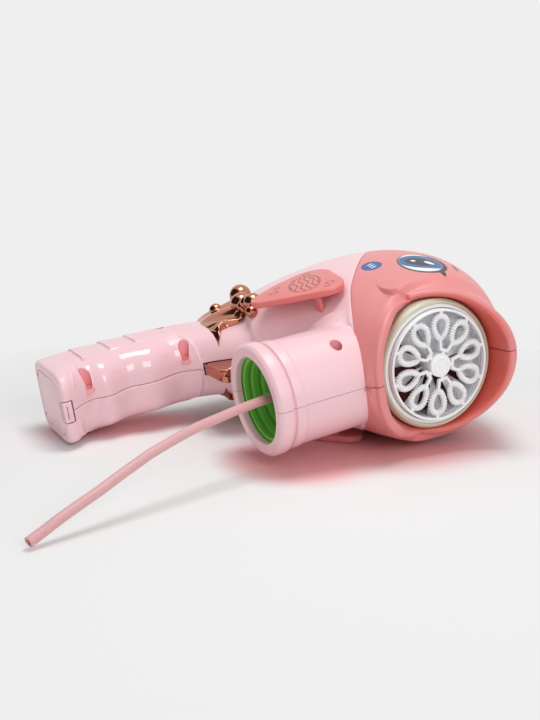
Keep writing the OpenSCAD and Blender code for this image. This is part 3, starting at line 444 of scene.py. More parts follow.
class PaintPot:
    """Masks and layers of paint, placed in the gun's millimetres."""

    def __init__(self, tree: Tree) -> None:
        """Keeps the tree that the paint is mixed in."""
        self.tree = tree

    def node(self, kind: str, **settings: object) -> bpy.types.Node:
        """Adds a node with its settings.

        Args:
            kind: Type of node.
            settings: Its properties by name.

        Returns:
            The node.
        """
        node = self.tree.nodes.new(kind)
        for name, value in settings.items():
            setattr(node, name, value)
        return node

    def placed(self, place: Socket, centre: Sequence[float], turn: Sequence[float],
               scale: Sequence[float]) -> Socket:
        """Counts coordinates from a centre, along turned axes, in the given scale.

        Args:
            place: Coordinates.
            centre: Where they start.
            turn: Turn about x, y and z in radians.
            scale: Length of one unit along each axis.

        Returns:
            The new coordinates.
        """
        node = self.node("ShaderNodeMapping", vector_type="TEXTURE")
        node.inputs["Location"].default_value = centre
        node.inputs["Rotation"].default_value = turn
        node.inputs["Scale"].default_value = scale
        self.tree.links.new(place, node.inputs["Vector"])
        return node.outputs["Vector"]

    def gun_place(self, place: Socket) -> Socket:
        """Turns object coordinates into the gun's frame in millimetres."""
        return self.placed(place, HUB * MM, GUN_AXES.to_euler("XYZ"), (MM, MM, MM))

    def far(self, place: Socket) -> Socket:
        """Measures the distance from where the coordinates start.

        Args:
            place: Coordinates.

        Returns:
            The distance.
        """
        size = self.node("ShaderNodeVectorMath", operation="LENGTH")
        self.tree.links.new(place, size.inputs[0])
        return size.outputs["Value"]

    def fade(self, value: Socket, start: float, end: float, ease: str = "LINEAR") -> Socket:
        """Runs from 0 where a value is at its start to 1 at its end.

        Args:
            value: Value that is read.
            start: Where it gives 0.
            end: Where it gives 1.
            ease: Way from one to the other.

        Returns:
            The mask.
        """
        node = self.node("ShaderNodeMapRange", interpolation_type=ease)
        node.inputs["From Min"].default_value = start
        node.inputs["From Max"].default_value = end
        self.tree.links.new(value, node.inputs["Value"])
        return node.outputs["Result"]

    def oval(self, place: Socket, centre: Point2, radii: Point2, lean: float = 0.0,
             soft: float = 0.06) -> Socket:
        """Masks an ellipse seen from the side.

        Args:
            place: Gun coordinates.
            centre: Centre as x and z.
            radii: Radii along the leaned x and z.
            lean: Turn about the sideways axis, in degrees.
            soft: Softness of the edge as a share of the radius.

        Returns:
            The mask, 1 inside.
        """
        spot = self.placed(place, (centre[0], 0.0, centre[1]), (0.0, math.radians(lean), 0.0),
                           (radii[0], ENDLESS, radii[1]))
        return self.fade(self.far(spot), 1.0 + soft, 1.0 - soft)

    def in_mouth(self, place: Socket, radius: float, back: float) -> Socket:
        """Masks the round space of the mouth.

        Args:
            place: Gun coordinates.
            radius: Radius about the wheel's axis.
            back: Where the mouth starts along the axis.

        Returns:
            The mask, 1 inside.
        """
        spot = self.placed(place, (0.0, 0.0, 0.0), (0.0, 0.0, 0.0), (ENDLESS, radius, radius))
        inside = self.fade(self.far(spot), 1.05, 0.97)
        return self.joined("MULTIPLY", inside, self.reckon("GREATER_THAN", self.split(place)["X"], back))

    def pool(self, place: Socket, centre: Point2, radii: Point2) -> Socket:
        """Masks a soft pool on the table.

        Args:
            place: Object coordinates.
            centre: Centre in millimetres.
            radii: Radii in millimetres.

        Returns:
            The mask, 1 in the middle.
        """
        spot = self.placed(place, (centre[0] * MM, centre[1] * MM, 0.0), (0.0, 0.0, 0.0),
                           (radii[0] * MM, radii[1] * MM, 1.0))
        return self.fade(self.far(spot), 1.35, 0.65, "SMOOTHSTEP")

    def ring(self, place: Socket, centre: Point2, radii: Point2, lean: float,
             line: float) -> Socket:
        """Masks the outline of an ellipse.

        Args:
            place: Gun coordinates.
            centre: Centre as x and z.
            radii: Outer radii.
            lean: Turn in degrees.
            line: Width of the line.

        Returns:
            The mask, 1 on the line.
        """
        outer = self.oval(place, centre, radii, lean, 0.03)
        inner = self.oval(place, centre, (radii[0] - line, radii[1] - line), lean, 0.03)
        return self.joined("SUBTRACT", outer, inner)

    def split(self, place: Socket) -> bpy.types.NodeOutputs:
        """Splits coordinates into X, Y and Z.

        Args:
            place: Coordinates.

        Returns:
            The outputs by name.
        """
        parts = self.node("ShaderNodeSeparateXYZ")
        self.tree.links.new(place, parts.inputs["Vector"])
        return parts.outputs

    def reckon(self, kind: str, a: Socket, b: Socket | float, clamp: bool = False) -> Socket:
        """Works out one step of arithmetic.

        Args:
            kind: Math operation.
            a: Value.
            b: Value or number that it is worked with.
            clamp: Whether the result is held between 0 and 1.

        Returns:
            The result.
        """
        node = self.node("ShaderNodeMath", operation=kind, use_clamp=clamp)
        self.tree.links.new(a, node.inputs[0])
        if isinstance(b, Socket):
            self.tree.links.new(b, node.inputs[1])
        else:
            node.inputs[1].default_value = b
        return node.outputs["Value"]

    def joined(self, kind: str, a: Socket, b: Socket) -> Socket:
        """Joins two masks into one that stays between 0 and 1."""
        return self.reckon(kind, a, b, clamp=True)

    def waves(self, place: Socket, pitch: float, half: float) -> Socket:
        """Masks even rows of wavy lines.

        Args:
            place: Gun coordinates.
            pitch: Distance between the lines.
            half: Half the width of a line.

        Returns:
            The mask, 1 on a line.
        """
        parts = self.split(place)
        phase = self.reckon("MULTIPLY", parts["X"], 0.55)
        swing = self.reckon("MULTIPLY", self.reckon("SINE", phase, 0.0), 0.9)
        slant = self.reckon("MULTIPLY", parts["X"], 0.44)
        level = self.reckon("ADD", self.reckon("ADD", parts["Z"], swing), slant)
        return self.reckon("LESS_THAN", self.reckon("PINGPONG", level, pitch / 2), half)

    def facing_up(self) -> Socket:
        """Masks the faces that look up from the table."""
        normal = self.node("ShaderNodeTexCoord").outputs["Normal"]
        return self.reckon("GREATER_THAN", self.split(normal)["Z"], 0.8)

    def over(self, mask: Socket, under: object, paint: object) -> Socket:
        """Lays paint over a colour where the mask is 1.

        Args:
            mask: Where the paint goes.
            under: Colour below, as a socket or four numbers.
            paint: Colour on top, as a socket or four numbers.

        Returns:
            The layered colour.
        """
        node = self.node("ShaderNodeMix", data_type="RGBA")
        self.tree.links.new(mask, node.inputs["Factor"])
        for name, value in (("A", under), ("B", paint)):
            socket = next(i for i in node.inputs if i.name == name and i.type == "RGBA")
            if isinstance(value, Socket):
                self.tree.links.new(value, socket)
            else:
                socket.default_value = value
        return next(o for o in node.outputs if o.type == "RGBA")


@dataclass(frozen=True)
class FaceFinish(Finish):
    """Coral moulding with the printed eye, brow and cheek mark, and painted shade inside the mouth.

    A spot is its centre, radii, lean in degrees and softness.
    """

    black: Colour = (0.02, 0.02, 0.025)
    white: Colour = (0.86, 0.87, 0.88)
    iris: Colour = (0.03, 0.115, 0.31)
    cheek: Colour = (0.018, 0.10, 0.31)
    # Painted shade: deep red on the mouth's inner walls, inside this radius and ahead of this depth.
    mouth_shade: Colour = (0.68, 0.105, 0.08)
    mouth_shade_r: float = 32.4
    mouth_shade_back: float = -7.5
    lash: Spot = ((-13.2, 15.6), (4.7, 1.4), 16.0, 0.10)
    eye_line: Spot = ((-28.8, 15.5), (17.3, 10.8), 14.0, 0.03)
    eye_ball: Spot = ((-29.8, 15.3), (15.7, 9.2), 14.0, 0.03)
    eye_disc: Spot = ((-29.8, 16.8), (13.4, 9.8), -18.0, 0.04)
    pupil: Spot = ((-30.0, 15.5), (8.6, 5.4), -14.0, 0.05)
    small_glint: Spot = ((-33.4, 13.8), (1.5, 1.1), 0.0, 0.10)
    large_glint: Spot = ((-26.2, 18.1), (3.4, 1.5), -4.0, 0.08)
    brow: Spot = ((-21.2, 29.0), (4.8, 0.8), 20.0, 0.20)
    cheek_disc: Spot = ((-45.9, -2.1), (6.3, 4.9), 8.0, 0.04)
    stroke: Spot = ((-45.8, -2.1), (0.5, 1.7), 0.0, 0.20)
    stroke_step: Point2 = (2.4, -0.4)

    def colour_socket(self, tree: Tree, place: Socket) -> Socket:
        """Paints the eye and cheek, and a deep red painted shade inside the mouth, over the clouded coral.

        Args:
            tree: Node tree of the material.
            place: Object coordinates.

        Returns:
            The colour.
        """
        (x, z), *rest = self.stroke
        step_x, step_z = self.stroke_step
        layers = (
            (self.lash, self.black),
            (self.eye_line, self.black),
            (self.eye_ball, self.white),
            (self.eye_disc, self.iris),
            (self.pupil, self.black),
            (self.small_glint, self.white),
            (self.large_glint, self.white),
            (self.brow, self.black),
            (self.cheek_disc, self.cheek),
            *((((x + step_x * k, z + step_z * k), *rest), self.white) for k in (-1, 0, 1)),
        )
        base = super().colour_socket(tree, place)
        pot = PaintPot(tree)
        gun = pot.gun_place(place)
        # Painted shade: the mouth's inner walls are darkened to deep red.
        base = pot.over(pot.in_mouth(gun, self.mouth_shade_r, self.mouth_shade_back), base, rgba(self.mouth_shade))
        eye = pot.oval(gun, *self.eye_ball)
        for spot, paint in layers:
            mask = pot.oval(gun, *spot)
            if paint is self.iris:
                mask = pot.joined("MULTIPLY", mask, eye)
            base = pot.over(mask, base, rgba(paint))
        return base


@dataclass(frozen=True)
class FinFinish(Finish):
    """Coral moulding with a print of waves and rings on its upper face.

    A ring is its centre, radii, lean in degrees and width of line.
    """

    ink: Colour = (0.24, 0.04, 0.03)
    field: tuple[Point2, Point2, float] = ((-59.0, -33.0), (12.6, 7.1), 24.0)
    pitch: float = 3.2
    half_line: float = 0.42
    rings: tuple[Spot, ...] = (
        ((-59.0, -33.0), (13.5, 8.0), 24.0, 0.8),
        ((-45.0, -26.5), (2.2, 2.2), 0.0, 0.7),
        ((-41.5, -30.0), (1.5, 1.5), 0.0, 0.6),
        ((-72.0, -25.0), (2.0, 2.0), 0.0, 0.7),
        ((-65.0, -47.5), (2.4, 2.4), 0.0, 0.7),
        ((-70.0, -43.0), (1.5, 1.5), 0.0, 0.6),
    )

    def colour_socket(self, tree: Tree, place: Socket) -> Socket:
        """Prints the waves and rings over the clouded coral.

        Args:
            tree: Node tree of the material.
            place: Object coordinates.

        Returns:
            The colour.
        """
        base = super().colour_socket(tree, place)
        pot = PaintPot(tree)
        gun = pot.gun_place(place)
        field = pot.oval(gun, *self.field)
        print_mask = pot.joined("MULTIPLY", pot.waves(gun, self.pitch, self.half_line), field)
        for ring in self.rings:
            print_mask = pot.joined("MAXIMUM", print_mask, pot.ring(gun, *ring))
        print_mask = pot.joined("MULTIPLY", print_mask, pot.facing_up())
        return pot.over(print_mask, base, rgba(self.ink))


@dataclass(frozen=True)
class CaseFinish(Finish):
    """Pink moulding that is polished where the fingers go."""

    polished: float = 0.08
    grip_centre: Point2 = (-75.0, -113.0)
    grip_radii: Point2 = (33.5, 37.0)

    def dress_surface(self, tree: Tree, shader: bpy.types.Node, place: Socket) -> None:
        """Adds grain and uneven gloss, with the grip smoother than the rest.

        Args:
            tree: Node tree of the material.
            shader: Principled shader.
            place: Object coordinates.
        """
        super().dress_surface(tree, shader, place)
        pot = PaintPot(tree)
        grip = pot.oval(pot.gun_place(place), self.grip_centre, self.grip_radii, 0.0, 0.02)
        blend = pot.node("ShaderNodeMix", data_type="FLOAT")
        floats = [i for i in blend.inputs if i.type == "VALUE"]
        rough = shader.inputs["Roughness"].links[0].from_socket
        tree.links.new(grip, floats[0])
        tree.links.new(rough, floats[1])
        floats[2].default_value = self.polished
        tree.links.new(next(o for o in blend.outputs if o.type == "VALUE"), shader.inputs["Roughness"])


class Finishes:
    """Every finish on the toy."""

    PINK = Finish("pink_satin", (0.90, 0.60, 0.64), (0.88, 0.57, 0.61), 0.36, 0.05, coat=0.1)
    CASE = CaseFinish("pink_case", (0.90, 0.60, 0.64), (0.88, 0.57, 0.61), 0.36, 0.05, coat=0.1)
    CORAL = Finish("coral_satin", (0.78, 0.27, 0.265), (0.75, 0.25, 0.245), 0.38, 0.06, coat=0.1)
    FACE = FaceFinish("coral_printed", (0.78, 0.27, 0.265), (0.75, 0.25, 0.245), 0.38, 0.06, coat=0.03)
    FIN = FinFinish("coral_print", (0.77, 0.20, 0.185), (0.74, 0.185, 0.17), 0.38, 0.06, coat=0.1)
    DEEP = Finish("deep_coral", (0.40, 0.09, 0.085), (0.36, 0.08, 0.075), 0.5, 0.06)
    PLATED = Finish("rose_plating", (0.58, 0.25, 0.16), (0.53, 0.21, 0.13), 0.14, 0.05, metallic=1.0)
    CREAM = Finish("cream_diffuser", (0.60, 0.55, 0.43), (0.57, 0.52, 0.40), 0.35, 0.05, glow_through=0.3)
    WHITE = Finish("white_moulding", (0.92, 0.92, 0.93), (0.90, 0.90, 0.91), 0.32, 0.05)
    GUIDE = Finish("grey_white_moulding", (0.86, 0.85, 0.89), (0.83, 0.82, 0.86), 0.4, 0.05)
    GREEN = Finish("green_collar", (0.17, 0.56, 0.07), (0.15, 0.50, 0.06), 0.35, 0.06)
    HOSE = Finish("pink_hose", (0.72, 0.40, 0.40), (0.68, 0.36, 0.37), 0.4, 0.05, glow_through=0.25)
    STEEL = Finish("bright_steel", (0.60, 0.60, 0.62), (0.54, 0.54, 0.56), 0.28, 0.08, metallic=1.0)
    # Screw heads tinted warm pink-red: painted shade of the wells and painted reflection of their pink
    # walls.
    SCREW_WELL_SHADE = Finish("steel_in_painted_well_shade", (0.70, 0.30, 0.29), (0.64, 0.26, 0.25), 0.45, 0.06, metallic=0.4)
    # Deeper, redder pink of the well linings: painted shade in the recesses of the same pink moulding.
    WELL_SHADED = Finish("pink_well_painted_shade", (0.92, 0.40, 0.43), (0.90, 0.37, 0.40), 0.5, 0.05)
    BLACK = Finish("black_moulding", (0.02, 0.02, 0.022), (0.03, 0.03, 0.032), 0.5, 0.08)
    GREY = Finish("grey_moulding", (0.34, 0.35, 0.37), (0.30, 0.31, 0.33), 0.45, 0.06)
    BOARD = Finish("board_green", (0.02, 0.16, 0.06), (0.015, 0.12, 0.045), 0.4, 0.06)
    CELL = Finish("cell_jacket", (0.08, 0.10, 0.14), (0.10, 0.12, 0.16), 0.3, 0.05, metallic=0.4)
    RUBBER = Finish("black_rubber", (0.015, 0.015, 0.016), (0.022, 0.022, 0.023), 0.7, 0.08)


@dataclass
class Piece:
    """A finished mesh and how it joins the frame."""

    bm: Mesh
    name: str
    finish: Finish
    body: str = "case"
    stands_for: tuple[str, ...] = ()
    slot: Optional[str] = None
    crease: float = CREASE
    wall: float = 0.0
    outward: bool = True

    def mesh_object(self) -> Thing:
        """Makes the laid-down object with smooth faces and sharp creases.

        Returns:
            The object.
        """
        bm = self.bm
        bmesh.ops.transform(bm, matrix=LIE_DOWN, verts=bm.verts)
        if self.outward:
            bmesh.ops.recalc_face_normals(bm, faces=bm.faces)
        MeshBench.shade(bm, self.crease)
        mesh = bpy.data.meshes.new(self.name)
        bm.to_mesh(mesh)
        bm.free()
        obj = bpy.data.objects.new(self.name, mesh)
        bpy.context.scene.collection.objects.link(obj)
        obj.data.materials.append(self.finish.material())
        if self.wall > 0:
            solid = obj.modifiers.new("wall", "SOLIDIFY")
            solid.thickness = self.wall * MM
            solid.offset = -1.0
        return obj

    def deliver(self) -> Thing:
        """Lays the piece down, joins it to its body and reports it.

        Returns:
            The object.
        """
        obj = self.mesh_object()
        self.join(obj)
        return obj

    def join(self, obj: Thing) -> None:
        """Joins a ready object to its body.

        Args:
            obj: Object to join.
        """
        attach(obj, self.body)
        if self.stands_for:
            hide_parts(*self.stands_for)
        log.info("%s rides on %s", self.name, self.body)


class Moulding:
    """Skin of the case: sections from the lips to the end of the handle."""

    SECTIONS = (
        (4, -40, 4, 38, 35, 0.5, 2, 2),
        (-6, -42, -6, 42.5, 38.5, 0.55, 2.05, 2.05),
        (-20, -44, -24, 51.5, 41.5, 0.58, 2.1, 2.1),
        (-38, -46, -50, 57.5, 43.9, 0.6, 2.1, 2.1),
        (-50, -48.5, -78, 53, 44.5, 0.6, 2.1, 2.1),
        (-57, -51, -103, 36.5, 42.5, 0.58, 2.1, 2.1),
        (-61, -54, -119, 11, 38.5, 0.55, 2.1, 2.1),
        (-64, -57, -129, -17, 33.5, 0.52, 2.1, 2.1),
        (-66, -60, -132, -37, 27.5, 0.5, 2.2, 2.3),
        (-69, -62, -132.5, -42, 20.5, 0.5, 2.4, 2.8),
        (-82, -70, -133, -62, 18.5, 0.5, 2.5, 4),
        (-93, -80, -133.5, -78, 18.5, 0.5, 2.6, 6),
        (-98, -91, -133.5, -91, 18.5, 0.5, 2.8, 7),
        (-94, -105, -134, -105, 18.5, 0.5, 2.8, 7),
        (-95.6, -119, -134, -119, 18.5, 0.5, 2.8, 7),
        (-90.2, -130, -133.5, -130, 18.5, 0.5, 2.8, 7),
        (-92, -138, -133, -138, 18.5, 0.5, 3, 7),
        (-88.4, -145, -132.5, -145, 18.5, 0.5, 3.5, 7),
        (-82, -151, -132, -151, 18.5, 0.5, 4.5, 7),
        (-81, -156, -131, -156, 18.1, 0.5, 4.5, 7),
    )
    SEAM = ((4.1,), (4.25,), (4.3,), (4.2,), (3.07,), (1.36,), (0.52,))
    LAST = 19.0

    @classmethod
    def seam(cls, turn: float) -> float:
        """Section number of the seam behind the mask at an angle from the crown."""
        return along(cls.SEAM, turn / 30.0)[0]

    @classmethod
    def skin(cls, s: float, turn: float, inset: float = 0.0) -> Vector:
        """Point of the right half of the skin.

        Args:
            s: Section number.
            turn: Angle from the crown in degrees, 180 at the belly.
            inset: How far the point is sunk.

        Returns:
            The point in the gun's frame.
        """
        q = along(cls.SECTIONS, s)
        belly, back = Vector((q[0], q[1])), Vector((q[2], q[3]))
        mid = belly.lerp(back, q[5])
        up = (back - belly).normalized()
        c, d = math.cos(math.radians(turn)), math.sin(math.radians(turn))
        reach, power = ((back - mid).length, q[7]) if c > 0 else ((belly - mid).length, q[6])
        grow = (abs(c) ** power + abs(d) ** power) ** (-1.0 / power)
        a, b = (reach - inset) * c * grow, (q[4] - inset) * d * grow
        return Vector((mid.x + up.x * a, -b, mid.y + up.y * a))


@dataclass
class CaseHalf:
    """One pink half: head, neck and handle, with its half of the bottle socket."""

    side: Side
    wall: float = 1.6
    along_steps: int = 300
    around_steps: int = 110
    gap: float = 0.1
    sunk: float = 0.15
    socket_x: float = -23.0
    socket_r: float = 24.3
    socket_line: tuple[Point2, ...] = (
        (socket_r, -41.0), (socket_r, -70.0), (24.9, -70.6), (24.9, -75.2), (23.7, -75.7), (23.7, -77.0),
        (25.4, -77.0), (26.0, -78.0), (26.0, -82.4), (24.6, -84.0), (20.6, -84.0), (20.0, -83.4),
        (20.0, -80.4), (21.8, -80.2), (21.8, -41.0), (socket_r, -41.0),
    )
    socket_round: float = 0.6
    socket_parts: int = 64
    split_r: float = 24.0
    socket_top: float = -45.0
    socket_lift: Point2 = (3.0, 11.0)
    lift_span: Point2 = (0.6, 0.45)
    shingles: tuple[float, ...] = (-137.5, -121.5, -107.5)
    grip_rim: tuple[Point2, ...] = ((-150.0, -84.0), (-146.0, -92.5), (-140.0, -100.0), (-133.0, -105.5),
                                    (-121.0, -107.0), (-107.0, -108.0), (-97.0, -109.0), (-87.0, -107.0),
                                    (-83.5, -103.0), (-79.0, -92.0), (-74.0, -70.0))
    vents: tuple[Point2, ...] = ((-58, 30), (-66, 27), (-74, 23), (-82, 18))
    wells: tuple[Point2, ...] = ((-93.4, -140), (-99, -86), (-127.5, -88))
    socket_well: Point2 = (-9, -47)
    well_r: float = 2.8
    well_floor: float = 4.0
    well_bed: float = -4.6
    well_out: float = -80.0
    well_parts: int = 40
    screw_r: float = 1.0
    lining_wide: float = 0.8
    lining_in: float = 0.1
    lining_sunk: float = 0.3
    lining_least: float = -5.6
    lining_bare: float = -6.0
    vent_r: float = 1.3
    vent_from: float = 20.0
    trigger_slot: tuple[Point3, Point3] = ((-106, -5.9, -79.4), (-60, 5.9, -63.6))
    latch_notch: tuple[Point3, Point3] = ((-85.6, -5.5, -158), (-78, 5.5, -150.9))
    bore_r: float = 22.6
    handle_top: float = -70.0
    handle_end: float = -153.0
    panel_top: float = -84.0
    shingle_rise: float = 0.8
    plate_rise: float = 0.35
    panel_side: Point2 = (11.0, 3.0)
    panel_start: Point2 = (72.0, 6.0)
    panel_rim: Point2 = (-1.2, 0.9)
    plate_centre: Point2 = (-118.0, -83.0)
    plate_radii: Point2 = (6.4, 7.4)
    plate_edge: float = 0.12
    dip: float = 0.6
    dip_share: float = 0.86
    dip_edge: float = 0.1
    grip_rise: float = 0.5
    grip_start: Point2 = (76.0, 3.0)
    grip_stop: Point2 = (-150.0, 2.0)
    bead_out: float = 0.9
    bead_wide: float = 0.8
    bead_rise: float = 0.3
    side_share: float = 0.985
    round_from: float = 153.4
    round_over: float = 2.6
    round_in: float = 2.4
    round_power: float = 2.6
    end_flat: float = 1.6
    groove: float = 0.3
    seam_turns: tuple[int, int, int] = (180, 110, -2)
    seam_out: float = 0.01
    seam_room: float = 0.3
    fillet_from: float = 1.05
    fillet_to: float = math.pi - 0.005
    fillet_in: float = 0.05
    fillet_least: float = 0.3
    fillet_spread: float = 12.0
    fillet_drop: float = 1.3
    fillet_foot: float = 0.2
    fillet_sunk: float = 0.04
    fillet_rows: int = 10
    belly_below: float = -75.0
    belly_near: float = -46.0
    belly_top: float = -25.0
    slope_step: float = 0.6
    slope_most: float = 1.2
    fillet_reach: float = 29.8
    fillet_steps: int = 90
    fillet_wall: float = 0.8
    level_step: float = 0.35
    lean_step: float = 0.08

    def relief(self, p: Vector) -> float:
        """Reads the moulded relief on the handle.

        Args:
            p: Point of the skin.

        Returns:
            The height.
        """
        x, z = p.x, p.z
        if z > self.handle_top or z < self.handle_end:
            return 0.0
        front = steps_between(self.grip_rim, z)
        panel = ramp(abs(p.y), self.panel_side) * ramp(-z, self.panel_start)
        panel *= 1.0 - ramp(x - front, self.panel_rim)
        step = 0.0
        for low, high in zip(self.shingles, self.shingles[1:] + (self.panel_top,)):
            if low <= z < high:
                step = self.shingle_rise * (1.0 - (z - low) / (high - low))
        (plate_x, plate_z), (wide, long) = self.plate_centre, self.plate_radii
        oval = math.hypot((x - plate_x) / wide, (z - plate_z) / long)
        plate = smooth01((1.0 - oval) / self.plate_edge)
        plate -= self.dip * smooth01((self.dip_share - oval) / self.dip_edge)
        grip = ramp(-z, self.grip_start) * ramp(z, self.grip_stop)
        bead = math.exp(-((x - front - self.bead_out) / self.bead_wide) ** 2)
        raised = self.grip_rise * smooth01(x - front) + self.bead_rise * bead
        return panel * (step + self.plate_rise * plate) + grip * raised

    def surface(self, u: float, v: float) -> Vector:
        """Follows the skin, with the rounded end and the flat edge round the door.

        Args:
            u: Share of the way from the seam to the end.
            v: Share of the way from crown to belly.

        Returns:
            The point.
        """
        turn = 180.0 * v
        s = mix(Moulding.seam(turn) + 0.01, Moulding.LAST, min(u / self.side_share, 1.0))
        p = Moulding.skin(s, turn, self.sunk)
        end = held((-p.z - self.round_from) / self.round_over)
        if end > 0:
            left = max(1.0 - end ** self.round_power, 0.0) ** (1.0 / self.round_power)
            inset = self.round_in * (1.0 - left)
            inset += self.end_flat * max(u - self.side_share, 0.0) / (1.0 - self.side_share)
            p = Moulding.skin(s, turn, self.sunk + inset)
        p.y = min(p.y, -self.gap)
        return p

    def build(self) -> list[Thing]:
        """Builds the half with its cuts and its socket half.

        Returns:
            The delivered objects.
        """
        name = self.side.name.lower()
        skin = bmesh.new()
        verts = MeshBench.patch(skin, self.along_steps, self.around_steps, self.surface)
        if self.side is Side.LEFT:
            bmesh.ops.scale(skin, vec=(1, -1, 1), verts=skin.verts)
        self.face_out(skin)
        MeshBench.emboss(skin, verts, self.relief)
        MeshBench.sink_rim(skin, self.groove)
        trees = [BVHTree.FromBMesh(skin)]
        socket = self.socket()
        fillet = self.fillet(trees[0])
        trees += [BVHTree.FromBMesh(socket), BVHTree.FromBMesh(fillet)]
        parts = (
            (skin, "case", self.wall),
            (socket, "socket", 0.0),
            (fillet, "socket_fillet", self.fillet_wall),
        )
        out = []
        for bm, part, wall in parts:
            piece = Piece(bm, f"{part}_{name}", Finishes.CASE, stands_for=(f"{name}_shell",), slot="pink",
                          wall=wall, outward=part == "socket")
            obj = piece.mesh_object()
            Cutter(obj).cut(self.cutters(part))
            piece.join(obj)
            out.append(obj)
        if self.side is Side.RIGHT:
            out.append(self.well_walls(trees))
        out.append(self.latch_back(name))
        return out

    def face_out(self, bm: Mesh) -> None:
        """Turns the open skin's faces outwards.

        Args:
            bm: Skin.
        """
        bm.normal_update()
        total = sum(f.normal.y * f.calc_area() for f in bm.faces)
        if total * self.side.value < 0:
            bmesh.ops.reverse_faces(bm, faces=bm.faces)

    def drill(self, place: Point2, radius: float, start: float) -> Mesh:
        """Returns a sideways drill.

        Args:
            place: Centre as x and z.
            radius: Radius of the hole.
            start: Distance from the middle plane at which the hole ends.

        Returns:
            The closed cylinder.
        """
        hole = bmesh.new()
        way = self.side.value
        middle = Matrix.Translation((place[0], way * (start + 30), place[1]))
        MeshBench.rod(hole, radius, 60, 48, middle @ Matrix.Rotation(math.pi / 2, 4, "X"))
        return hole

    def cutters(self, part: str) -> list[Mesh]:
        """Returns the shapes that are cut out of one part of the half.

        Args:
            part: Name of the part.

        Returns:
            The closed shapes.
        """
        right = self.side is Side.RIGHT
        out = [self.drill(self.socket_well, self.well_r, self.well_floor)] if right else []
        if part != "case":
            return out
        slot = bmesh.new()
        for vert in MeshBench.block(slot, *self.trigger_slot, 0.6):
            vert.co.y *= Trigger.taper(vert.co.z)
        notch = bmesh.new()
        MeshBench.block(notch, *self.latch_notch, 0.3)
        bore = bmesh.new()
        MeshBench.rod(bore, self.bore_r, 40, 64, Matrix.Translation((self.socket_x, 0, -58)))
        out += [slot, notch, bore]
        out += [self.drill(p, self.vent_r, self.vent_from) for p in self.vents]
        if right:
            out += [self.drill(p, self.well_r, self.well_floor) for p in self.wells]
        return out

    def socket(self) -> Mesh:
        """Turns this half of the bottle socket.

        Returns:
            The closed half.
        """
        line = MeshBench.rounded(self.socket_line, self.socket_round)
        bm = bmesh.new()
        way = self.side.value
        turn = math.asin(self.gap / self.split_r)
        start = Matrix.Rotation(way * turn, 3, "Z")
        profile = [start @ Vector((r, 0, z)) + Vector((self.socket_x, 0, 0)) for r, z in line]
        sweep = way * (math.pi - 2 * turn)
        MeshBench.turned(bm, profile, Vector((self.socket_x, 0, 0)), UP, self.socket_parts, sweep)
        bmesh.ops.holes_fill(bm, edges=[e for e in bm.edges if e.is_boundary], sides=0)
        bmesh.ops.recalc_face_normals(bm, faces=bm.faces)
        for vert in bm.verts:
            if vert.co.z > self.socket_top:
                a = math.atan2(abs(vert.co.y), vert.co.x - self.socket_x)
                vert.co.z += mix(*self.socket_lift, ramp(a, self.lift_span))
        return bm

    def seam_reach(self, a: float) -> float:
        """Measures from the socket's axis to the mask's seam.

        Args:
            a: Angle in radians.

        Returns:
            The distance.
        """
        marks = []
        for turn in range(*self.seam_turns):
            p = Moulding.skin(Moulding.seam(turn) + self.seam_out, turn)
            marks.append((math.atan2(abs(p.y), p.x - self.socket_x), math.hypot(p.y, p.x - self.socket_x)))
        for (a0, r0), (a1, r1) in zip(marks, marks[1:]):
            if a0 <= a <= a1:
                return mix(r0, r1, (a - a0) / (a1 - a0))
        return marks[-1][1]

    def fillet(self, skin: BVHTree) -> Mesh:
        """Blends the socket into the head with a soft strip.

        Args:
            skin: Tree of the skin that the strip meets.

        Returns:
            The open strip.
        """
        way = self.side.value
        radius = self.socket_r - self.fillet_in
        least = radius + self.fillet_least
        steps = self.fillet_steps
        lines: list[tuple[Vector, Vector, Vector]] = []

        def under(r: float, a: float) -> float:
            """Finds the skin round the socket.

            Args:
                r: Distance from the socket's axis.
                a: Angle round it.

            Returns:
                The height.
            """
            foot = Vector((self.socket_x + r * math.cos(a), way * r * math.sin(a), self.belly_below))
            hit = skin.ray_cast(foot, UP)[0]
            if hit is None or hit.z > self.belly_top:
                hit = skin.find_nearest(Vector((foot.x, foot.y, self.belly_near)))[0]
            return hit.z

        level, lean = None, 0.0
        for k in range(steps, -1, -1):
            a = mix(self.fillet_from, self.fillet_to, k / steps)
            widest = min(self.fillet_reach, self.seam_reach(a) - self.seam_room)
            far = max(min(widest, least + self.fillet_spread * (a - self.fillet_from)), least)
            high = under(far, a)
            slope = (high - under(far - self.slope_step, a)) / self.slope_step
            slope = held(slope, -self.slope_most, self.slope_most)
            if level is not None:
                high = held(high, level - self.level_step, level + self.level_step)
                slope = held(slope, lean - self.lean_step, lean + self.lean_step)
            level, lean = high, slope
            corner = high - slope * (far - radius)
            start = Vector((radius, corner - self.fillet_drop * (far - radius) - self.fillet_foot))
            lines.insert(0, (start, Vector((radius, corner)), Vector((far, high))))

        def place(u: float, v: float) -> Vector:
            """Bends the strip from the socket into the head.

            Args:
                u: Share of the way round.
                v: Share of the way from socket to head.

            Returns:
                The point.
            """
            a = mix(self.fillet_from, self.fillet_to, u)
            start, corner, end = lines[round(u * steps)]
            q = (1 - v) ** 2 * start + 2 * v * (1 - v) * corner + v * v * end
            x = self.socket_x + q.x * math.cos(a)
            return Vector((x, way * q.x * math.sin(a), q.y - self.fillet_sunk))

        bm = bmesh.new()
        MeshBench.patch(bm, steps, self.fillet_rows, place)
        bm.normal_update()
        if sum(f.normal.z for f in bm.faces) > 0:
            bmesh.ops.reverse_faces(bm, faces=bm.faces)
        return bm

    def well_walls(self, trees: Sequence[BVHTree]) -> Thing:
        """Lines the screw wells with short tubes that end just under the skin, in a deeper pink that paints
        the shade inside the wells.

        Args:
            trees: Surfaces that the wells open through.

        Returns:
            The delivered object.
        """
        bm = bmesh.new()
        for x, z in (*self.wells, self.socket_well):

